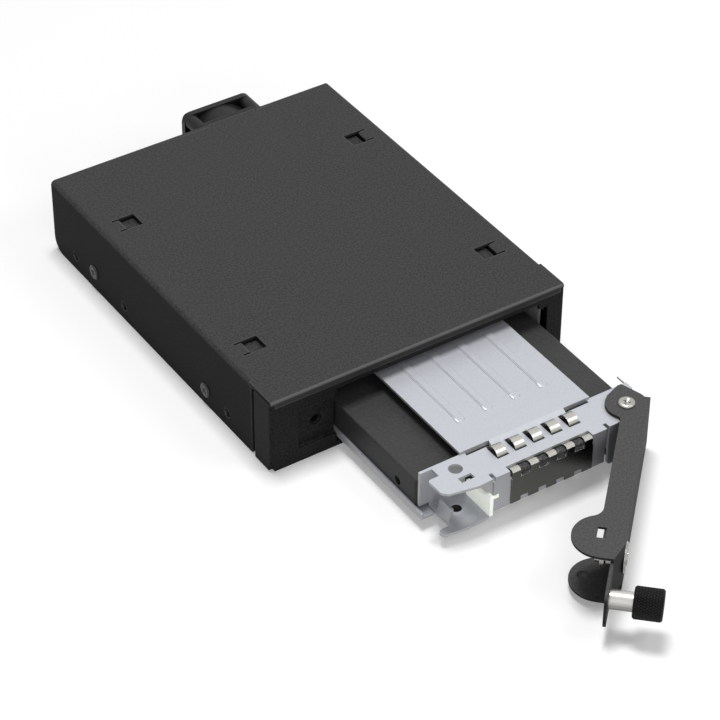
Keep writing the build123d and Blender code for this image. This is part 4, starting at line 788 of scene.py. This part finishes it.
halfWidth = 50.8
postSpots = [(side * 40.0, z) for side in (-1, 1) for z in (5.5, 18.5)]
fanSpots = [(14.2 + a * 10.0, 12.7 + b * 10.0) for a in (-1, 1) for b in (-1, 1)]
driveSpots = [(x, y) for x in (-23.88, 38.08) for y in (47.1, -29.5)]

sideScrew = {
    "node": "side_screws", "body": "housing", "slot": "screw_steel", "finish": "darkZinc",
    "headRadius": 2.4, "head": 0.5, "crown": 0.8, "crownReach": 0.3,
    "shankRadius": 1.25, "shank": 3.5, "pitch": 0.5, "sides": 40,
    "recess": 1.45, "recessArm": 0.3, "recessDepth": 0.42,
    "places": [
        ((side * halfWidth, y, z), (side, 0, 0), (0, math.cos(turn), math.sin(turn)))
        for side in (-1, 1) for y, z, turn in ((36.6, 5.3, 0.6), (102.7, 6.4, 0.2))
    ],
}
boardScrew = dict(
    sideScrew, node="board_screws", slot="black_screw", finish="blackOxide",
    headRadius=2.2, head=1.0, crown=0.6, shankRadius=1.3, shank=4.6, recessDepth=0.7,
    places=[((x, 118.0, z), (0, -1, 0), (1, 0, 0.3)) for x, z in postSpots],
)
panelScrew = dict(
    boardScrew, node="panel_screws", head=1.2, shank=3.5,
    places=[((x, 128.0, z), (0, 1, 0), (1, 0, 0.2 + 0.01 * x)) for x, z in postSpots],
)
fanScrew = dict(
    boardScrew, node="fan_screws", headRadius=1.9, head=1.0, shankRadius=1.35, shank=11.0,
    recess=1.2, recessArm=0.26, sides=32,
    places=[((x, 138.0, z), (0, 1, 0), (1, 0, 0.05 * x)) for x, z in fanSpots],
)
driveScrew = dict(
    sideScrew, node="drive_screws", body="tray", finish="screwSteel",
    headRadius=2.5, head=0.6, shankRadius=1.45, shank=4.1,
    places=[((x, y, 3.4), (0, 0, -1), (1, 0.02 * x, 0)) for x, y in driveSpots],
)
pivotScrew = dict(
    sideScrew, node="pivot_screw", body="tray", finish="screwSteel",
    headRadius=2.5, head=0.8, crown=0.75, crownReach=0.34,
    shankRadius=1.0, shank=3.5, pitch=0.4, sides=56,
    recess=1.35, recessArm=0.3, recessDepth=0.62,
    places=[((37.8, -47.6, 18.8), (0, 0, 1), (0.86, 0.5, 0))],
)
for name, screw in (
    ("sideScrews", sideScrew), ("boardScrews", boardScrew), ("panelScrews", panelScrew),
    ("fanScrews", fanScrew), ("driveScrews", driveScrew), ("pivotScrew", pivotScrew),
):
    screwSet(name, screw)
print("screws cut with cross recesses")


# thumbscrew, about the axis that stands square to the lever

leverTurn = math.radians(46.0)
pivotSpot = Vector((37.8, -47.6, 0))
alongArm = Vector((-math.cos(leverTurn), -math.sin(leverTurn), 0))
awayFromTray = Vector((math.sin(leverTurn), -math.cos(leverTurn), 0))


def leverSpot(u, v, z):
    return pivotSpot + alongArm * u + awayFromTray * v + Vector((0, 0, z))


thumbScrew = {
    "u": 72.8, "z": 11.6,
    "start": 3.2, "threadEnd": 10.0, "collarStart": 10.74, "collarEnd": 15.3, "stubEnd": 17.3,
    "radius": 1.5, "collarRadius": 2.0, "stubRadius": 1.2, "pitch": 0.5, "sides": 40,
    "knobStart": 10.6, "knobLength": 8.1, "knobRadius": 4.5, "knobBore": 3.05, "knobBoreDepth": 4.7,
    "teeth": 36, "toothDepth": 0.3, "chamfer": 0.5, "knurlPitch": 0.78,
}


def makeThumbScrew(t):
    bm = bmesh.new()
    core = t["radius"] - threadDepth * t["pitch"]
    end = t["threadEnd"] - t["start"]
    rows = [ring(core * 0.8, 0), ring(core, 0.25)]
    steps = int(end / t["pitch"]) * 6

    def threadRow(height):
        fade = max(0.0, min(1.0, height / 0.5, (end - height) / 0.3))

        def row(share):
            wave = threadWave(height, share, t["pitch"])
            return polar(core + (t["radius"] - core) * wave * fade, share, height)
        return row

    for k in range(4, steps):
        rows.append(threadRow(end * k / steps))
    shoulder, collar = t["collarStart"] - t["start"], t["collarEnd"] - t["start"]
    rows += [ring(core, end), ring(core, shoulder), ring(t["collarRadius"], shoulder)]
    rows += [ring(t["collarRadius"], collar), ring(t["stubRadius"], collar)]
    rows.append(ring(t["stubRadius"], t["stubEnd"] - t["start"]))
    ringRows(bm, rows, t["sides"])
    bm.transform(seat(leverSpot(t["u"], t["start"], t["z"]), awayFromTray, alongArm))
    piece = newPiece("thumbScrew", bm, "screw", "screwSteel")
    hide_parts("thumbscrew")


def makeKnob(t):
    bm = bmesh.new()
    sides = t["teeth"] * 6
    length, radius, chamfer = t["knobLength"], t["knobRadius"], t["chamfer"]

    def knurlRow(height):
        def row(share):
            along = height / (t["knurlPitch"] * 2)
            left = abs(((share * t["teeth"] + along) % 1.0) * 2 - 1)
            right = abs(((share * t["teeth"] - along) % 1.0) * 2 - 1)
            groove = max(0.0, 1 - 2.4 * min(left, right))
            edge = min(height, length - height)
            room = radius - max(0.0, chamfer - edge) * 0.9
            return polar(room - t["toothDepth"] * groove * min(1.0, edge / 0.3), share, height)
        return row

    bore, deep = t["knobBore"], t["knobBoreDepth"]
    rows = [ring(t["stubRadius"], deep + 2.0), ring(t["stubRadius"], deep)]
    rows += [ring(bore, deep), ring(bore, 0.2), ring(bore + 0.2, 0)]
    rows.append(ring(radius - chamfer - 0.3, 0))
    count = int(length / 0.13)
    for k in range(count + 1):
        rows.append(knurlRow(length * k / count))
    rows.append(ring(radius - chamfer - 0.35, length))
    rows.append(ring(radius - chamfer - 0.7, length - 0.15))
    rows.append(ring(1.0, length - 0.15))
    ringRows(bm, rows, sides)
    bm.transform(seat(leverSpot(t["u"], t["knobStart"], t["z"]), awayFromTray, alongArm))
    piece = newPiece("thumbKnob", bm, "screw", "knobPlastic", smooth=28)
    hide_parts("thumbscrew_knob")


makeThumbScrew(thumbScrew)
makeKnob(thumbScrew)
print("thumbscrew knurled and threaded")


# small fittings

def boxInto(bm, low, high):
    made = bmesh.ops.create_cube(bm, size=1)
    for vert in made["verts"]:
        for axis in range(3):
            vert.co[axis] = (high[axis] if vert.co[axis] > 0 else low[axis]) * mm


def roundEdges(bm, radius, segments):
    bmesh.ops.bevel(bm, geom=bm.edges[:], offset=radius * mm, segments=segments, affect="EDGES")


contacts = {
    "width": 0.55,
    "pitch": 1.27,
    "proud": 0.05,
    "tongue": 0.6,
    "round": 0.02,
    "sets": (  # piece, body, level, span along the rack, then the middle and count of each row
        ("portContacts", "housing", 11.0, (123.4, 128.0), ((-31.5, 12), (-12.5, 5))),
        ("plugContacts", "tray", 8.0, (56.3, 60.4), ((-15.5, 7), (2.0, 15))),
    ),
}


def contactRow(bm, c, middle, count, level, span):
    half = c["width"] / 2
    for k in range(count):
        x = middle + (k - (count - 1) / 2) * c["pitch"]
        for side in (-1, 1):
            low, high = sorted((level + side * c["tongue"], level + side * (c["tongue"] + c["proud"])))
            boxInto(bm, (x - half, span[0], low), (x + half, span[1], high))


def makeContacts(c):
    for name, body, level, span, rows in c["sets"]:
        bm = bmesh.new()
        for middle, count in rows:
            contactRow(bm, c, middle, count, level, span)
        roundEdges(bm, c["round"], 1)
        newPiece(name, bm, body, "gold")


makeContacts(contacts)

# black foam seal behind the finger strip, also put there as painted shade: it keeps the gaps under the flange
# dark
sealAndShade = {
    "left": -5.3, "right": 22.3,
    "front": -52.25, "rear": -47.6,
    "low": 14.95, "high": 16.42,
    "skirts": (-0.77, 5.41, 11.59, 17.77), "skirtWidth": 2.3,
    "skirtFront": -52.62, "skirtLow": 14.44, "overlap": 0.3, "rise": 0.4,
    "soft": 0.08,
}


def makeSealAndShade(s):
    bm = bmesh.new()
    boxInto(bm, (s["left"], s["front"], s["low"]), (s["right"], s["rear"], s["high"]))
    for x in s["skirts"]:
        half = s["skirtWidth"] / 2
        rear, top = s["front"] + s["overlap"], s["low"] + s["rise"]
        boxInto(bm, (x - half, s["skirtFront"], s["skirtLow"]), (x + half, rear, top))
    roundEdges(bm, s["soft"], 2)
    newPiece("sealAndShade", bm, "tray", "sealFoamAndShade")


makeSealAndShade(sealAndShade)

cups = {
    "leverCup": {
        "spot": leverSpot(56.0, -4.5, 3.0), "radius": 1.73, "depth": 0.85, "sheet": 0.15,
        "body": "lever", "slot": "black_lever_coat", "finish": "leverCoat",
    },
    # painted shade: a black cup under the flange hole stands for the dark floor shadow seen through it
    "bracketHoleShade": {
        "spot": Vector((-18.3, -44.6, 4.1)), "radius": 1.58, "depth": 0.6, "sheet": 0.15,
        "body": "tray", "slot": "knob_plastic", "finish": "knobPlastic",
    },
}


def makeCup(name, c):
    bm = bmesh.new()
    rows = []
    for k in range(7):
        angle = k / 7 * math.pi / 2
        rows.append(ring(c["radius"] * math.cos(angle), -c["depth"] * math.sin(angle)))
    rows.append(ring(0.12, -c["depth"]))
    rows.append(ring(0.12, -c["depth"] - c["sheet"]))
    for k in range(6, -1, -1):
        angle = k / 7 * math.pi / 2
        outer = c["radius"] + 0.4 * c["sheet"]
        rows.append(ring(outer * math.cos(angle) - 0.02, -(c["depth"] + c["sheet"]) * math.sin(angle) - 0.05))
    loops = ringRows(bm, rows, 40, closed=False)
    joinLoops(bm, (loops[-1], loops[0]), closed=False)
    bm.faces.new(loops[7][::-1])
    bm.faces.new(loops[8])
    bm.transform(Matrix.Translation(c["spot"] * mm))
    newPiece(name, bm, c["body"], c["finish"])


for name, cup in cups.items():
    makeCup(name, cup)

leaf = {
    "x": 44.5, "foot": 41.7, "front": -39.85, "rear": -34.7, "sheet": 0.3,
    "low": 11.0, "high": 16.8, "narrow": -38.7, "lip": 0.5,
}


def makeLeaf(s):
    bm = bmesh.new()
    half = s["sheet"] / 2
    path = [  # middle line, its square direction and the lower edge there
        ((s["foot"], s["front"]), (0, -1), s["low"]),
        ((s["x"] - 0.5, s["front"]), (0, -1), s["low"]),
        ((s["x"] - 0.15, s["front"] + 0.15), (0.7, -0.7), s["low"]),
        ((s["x"], s["front"] + 0.5), (1, 0), s["low"]),
        ((s["x"], s["narrow"]), (1, 0), s["high"] - 1.6),
        ((s["x"], s["narrow"] + 0.8), (1, 0), s["high"] - s["lip"]),
        ((s["x"], s["rear"]), (1, 0), s["high"] - s["lip"]),
    ]
    rows = []
    for (x, y), (dx, dy), low in path:
        corners = ((-half, low), (half, low), (half, s["high"]), (-half, s["high"]))
        rows.append([bm.verts.new(Vector((x + dx * out, y + dy * out, z)) * mm) for out, z in corners])
    joinLoops(bm, rows)
    piece = newPiece("leaf", bm, "tray", "leafSteel", smooth=50)
    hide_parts("side_spring")


makeLeaf(leaf)

windowPad = {
    "inner": 37.5, "outer": 42.9, "halfLength": 3.7,
    "low": 23.3, "high": 23.7, "under": 24.38, "rows": (25.55, 96.4),
    "sheet": 0.4, "round": 0.06,
}


def makeWindowPads(s):
    bm = bmesh.new()
    for side in (-1, 1):
        for y in s["rows"]:
            inner, outer = sorted((side * s["inner"], side * s["outer"]))
            boxInto(bm, (inner, y - s["halfLength"], s["low"]), (outer, y + s["halfLength"], s["high"]))
            inner, outer = sorted((side * (s["inner"] - s["sheet"]), side * s["inner"]))
            boxInto(bm, (inner, y - s["halfLength"], s["low"]), (outer, y + s["halfLength"], s["under"]))
    roundEdges(bm, s["round"], 1)
    newPiece("windowPads", bm, "housing", "coverCoat")


makeWindowPads(windowPad)

# painted highlight: thin bright beads along the ribs' left flanks and front ends stand in for their
# highlights
paintedRibGlints = {
    "xs": (-5.225, 4.325, 13.875, 23.425), "side": -1.4, "z": 18.57,
    "front": -28.0, "rear": 34.0, "radius": 0.1, "end": 0.42, "endLength": 1.2,
    "lean": 20, "rise": 0.16,
}


def makePaintedRibGlints(s):
    bm = bmesh.new()
    for x in s["xs"]:
        back = s["front"] + s["endLength"]
        spots = [(s["front"] - 0.4, 0.05), (s["front"], s["end"]), (back, s["end"])]
        spots += [(back + 0.8, s["radius"]), (s["rear"], s["radius"]), (s["rear"] + 0.4, 0.02)]
        rows = []
        for y, radius in spots:
            rows.append([
                bm.verts.new(Vector((
                    x + s["side"] + radius * math.cos(math.pi * k / 6 - math.radians(s["lean"])),
                    y,
                    s["z"] + min(radius, s["rise"]) * math.sin(math.pi * k / 6),
                )) * mm)
                for k in range(12)
            ])
        joinLoops(bm, rows)
    newPiece("paintedRibGlints", bm, "tray", "paintedRibHighlight", smooth=60)


makePaintedRibGlints(paintedRibGlints)
print("seal, cups, leaf, window pads and rib lines placed")

returnSpring = {
    "wire": 0.22,
    "coil": 3.35,
    "turns": 4,
    "low": 9.4,
    "high": 12.0,
    "startTurn": 225,
    "hook": [(30.6, -52.75, 10.7), (31.6, -52.8, 11.1), (33.0, -52.2, 11.6), (34.2, -51.0, 11.9)],
    "leg": [(33.4, -47.0), (32.6, -42.0), (32.6, -39.95)],
    "legDrop": 0.1,
}


def makeReturnSpring(s):
    curve = bpy.data.curves.new("returnSpring", "CURVE")
    curve.dimensions = "3D"
    curve.bevel_depth = s["wire"] * mm
    curve.bevel_resolution = 3
    curve.resolution_u = 8
    spots = list(s["hook"])
    count = s["turns"] * 12
    for k in range(count + 1):
        angle = math.radians(s["startTurn"]) + 2 * math.pi * k / 12
        height = s["high"] + (s["low"] - s["high"]) * k / count
        spots.append((
            pivotSpot.x + s["coil"] * math.cos(angle),
            pivotSpot.y + s["coil"] * math.sin(angle),
            height,
        ))
    spots += [(x, y, s["low"] - s["legDrop"]) for x, y in s["leg"]]
    line = curve.splines.new("NURBS")
    line.points.add(len(spots) - 1)
    for point, spot in zip(line.points, spots):
        point.co = (*(c * mm for c in spot), 1)
    line.order_u = 3
    line.use_endpoint_u = True
    wire = bpy.data.objects.new("returnSpring", curve)
    bpy.context.scene.collection.objects.link(wire)
    curve.materials.append(finishes["blackOxide"])
    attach(wire, "tray")


makeReturnSpring(returnSpring)
print("contacts and return spring placed")


# floor, lamps and surroundings

studio = {
    "floorSize": 6.0,
    "floorDrop": 0.05 * mm,
    "floorColour": (0.92, 0.92, 0.92),
    "floorLift": 0.23,
    "worldLight": 0.14,
}


def seenDirectly(tree):
    rays = addNode(tree, "ShaderNodeLightPath")
    first = addNode(tree, "ShaderNodeMath", operation="MAXIMUM")
    second = addNode(tree, "ShaderNodeMath", operation="MAXIMUM")
    tree.links.new(rays.outputs["Is Camera Ray"], first.inputs[0])
    tree.links.new(rays.outputs["Is Glossy Ray"], first.inputs[1])
    tree.links.new(first.outputs[0], second.inputs[0])
    tree.links.new(rays.outputs["Is Transmission Ray"], second.inputs[1])
    return second.outputs[0]


def makeFloor(s):
    bm = bmesh.new()
    bmesh.ops.create_grid(bm, x_segments=8, y_segments=8, size=s["floorSize"] / 2)
    bmesh.ops.translate(bm, verts=bm.verts, vec=(0, 0, -s["floorDrop"]))
    mesh = bpy.data.meshes.new("studioFloor")
    bm.to_mesh(mesh)
    bm.free()
    floor = bpy.data.objects.new("studioFloor", mesh)
    bpy.context.scene.collection.objects.link(floor)
    material, tree, shader = startFinish("studioFloor")
    tree.nodes.remove(shader)
    paper = addNode(tree, "ShaderNodeBsdfDiffuse")
    paper.inputs["Color"].default_value = (*s["floorColour"], 1)
    glow = addNode(tree, "ShaderNodeEmission")
    tree.links.new(seenDirectly(tree), glow.inputs["Strength"])
    glow.inputs["Color"].default_value = (s["floorLift"],) * 3 + (1,)
    both = addNode(tree, "ShaderNodeAddShader")
    tree.links.new(paper.outputs[0], both.inputs[0])
    tree.links.new(glow.outputs[0], both.inputs[1])
    tree.links.new(both.outputs[0], tree.nodes["Material Output"].inputs["Surface"])
    mesh.materials.append(material)


def makeWorld(s):
    world = bpy.data.worlds.new("studio")
    bpy.context.scene.world = world
    world.use_nodes = True
    tree = world.node_tree
    light = tree.nodes["Background"]
    light.inputs["Color"].default_value = (1, 1, 1, 1)
    light.inputs["Strength"].default_value = s["worldLight"]
    plain = addNode(tree, "ShaderNodeBackground")
    plain.inputs["Color"].default_value = (1, 1, 1, 1)
    plain.inputs["Strength"].default_value = 1.0
    choose = addNode(tree, "ShaderNodeMixShader")
    tree.links.new(seenDirectly(tree), choose.inputs[0])
    tree.links.new(light.outputs[0], choose.inputs[1])
    tree.links.new(plain.outputs[0], choose.inputs[2])
    tree.links.new(choose.outputs[0], tree.nodes["World Output"].inputs["Surface"])


lamps = {
    "overhead": {"place": (0.04, 0.2, 1.27), "aim": (0, 0, 0), "size": 0.38, "power": 10.3},
    "rightFront": {"place": (0.26, -0.3, 0.45), "aim": (0.04, -0.1, 0), "size": 0.25, "power": 0.5},
    "frontFill": {"place": (-0.16, -0.64, 0.24), "aim": (0, 0, 0), "size": 0.4, "power": 1.0},
}


def makeLamp(name, lamp):
    data = bpy.data.lights.new(name, "AREA")
    data.shape = "SQUARE"
    data.size = lamp["size"]
    data.energy = lamp["power"]
    light = bpy.data.objects.new(name, data)
    bpy.context.scene.collection.objects.link(light)
    aim = Vector(lamp["aim"]) - Vector(lamp["place"])
    light.rotation_euler = aim.to_track_quat("-Z", "Y").to_euler()
    light.location = lamp["place"]


makeFloor(studio)
makeWorld(studio)
for name, lamp in lamps.items():
    makeLamp(name, lamp)
print("studio lit")
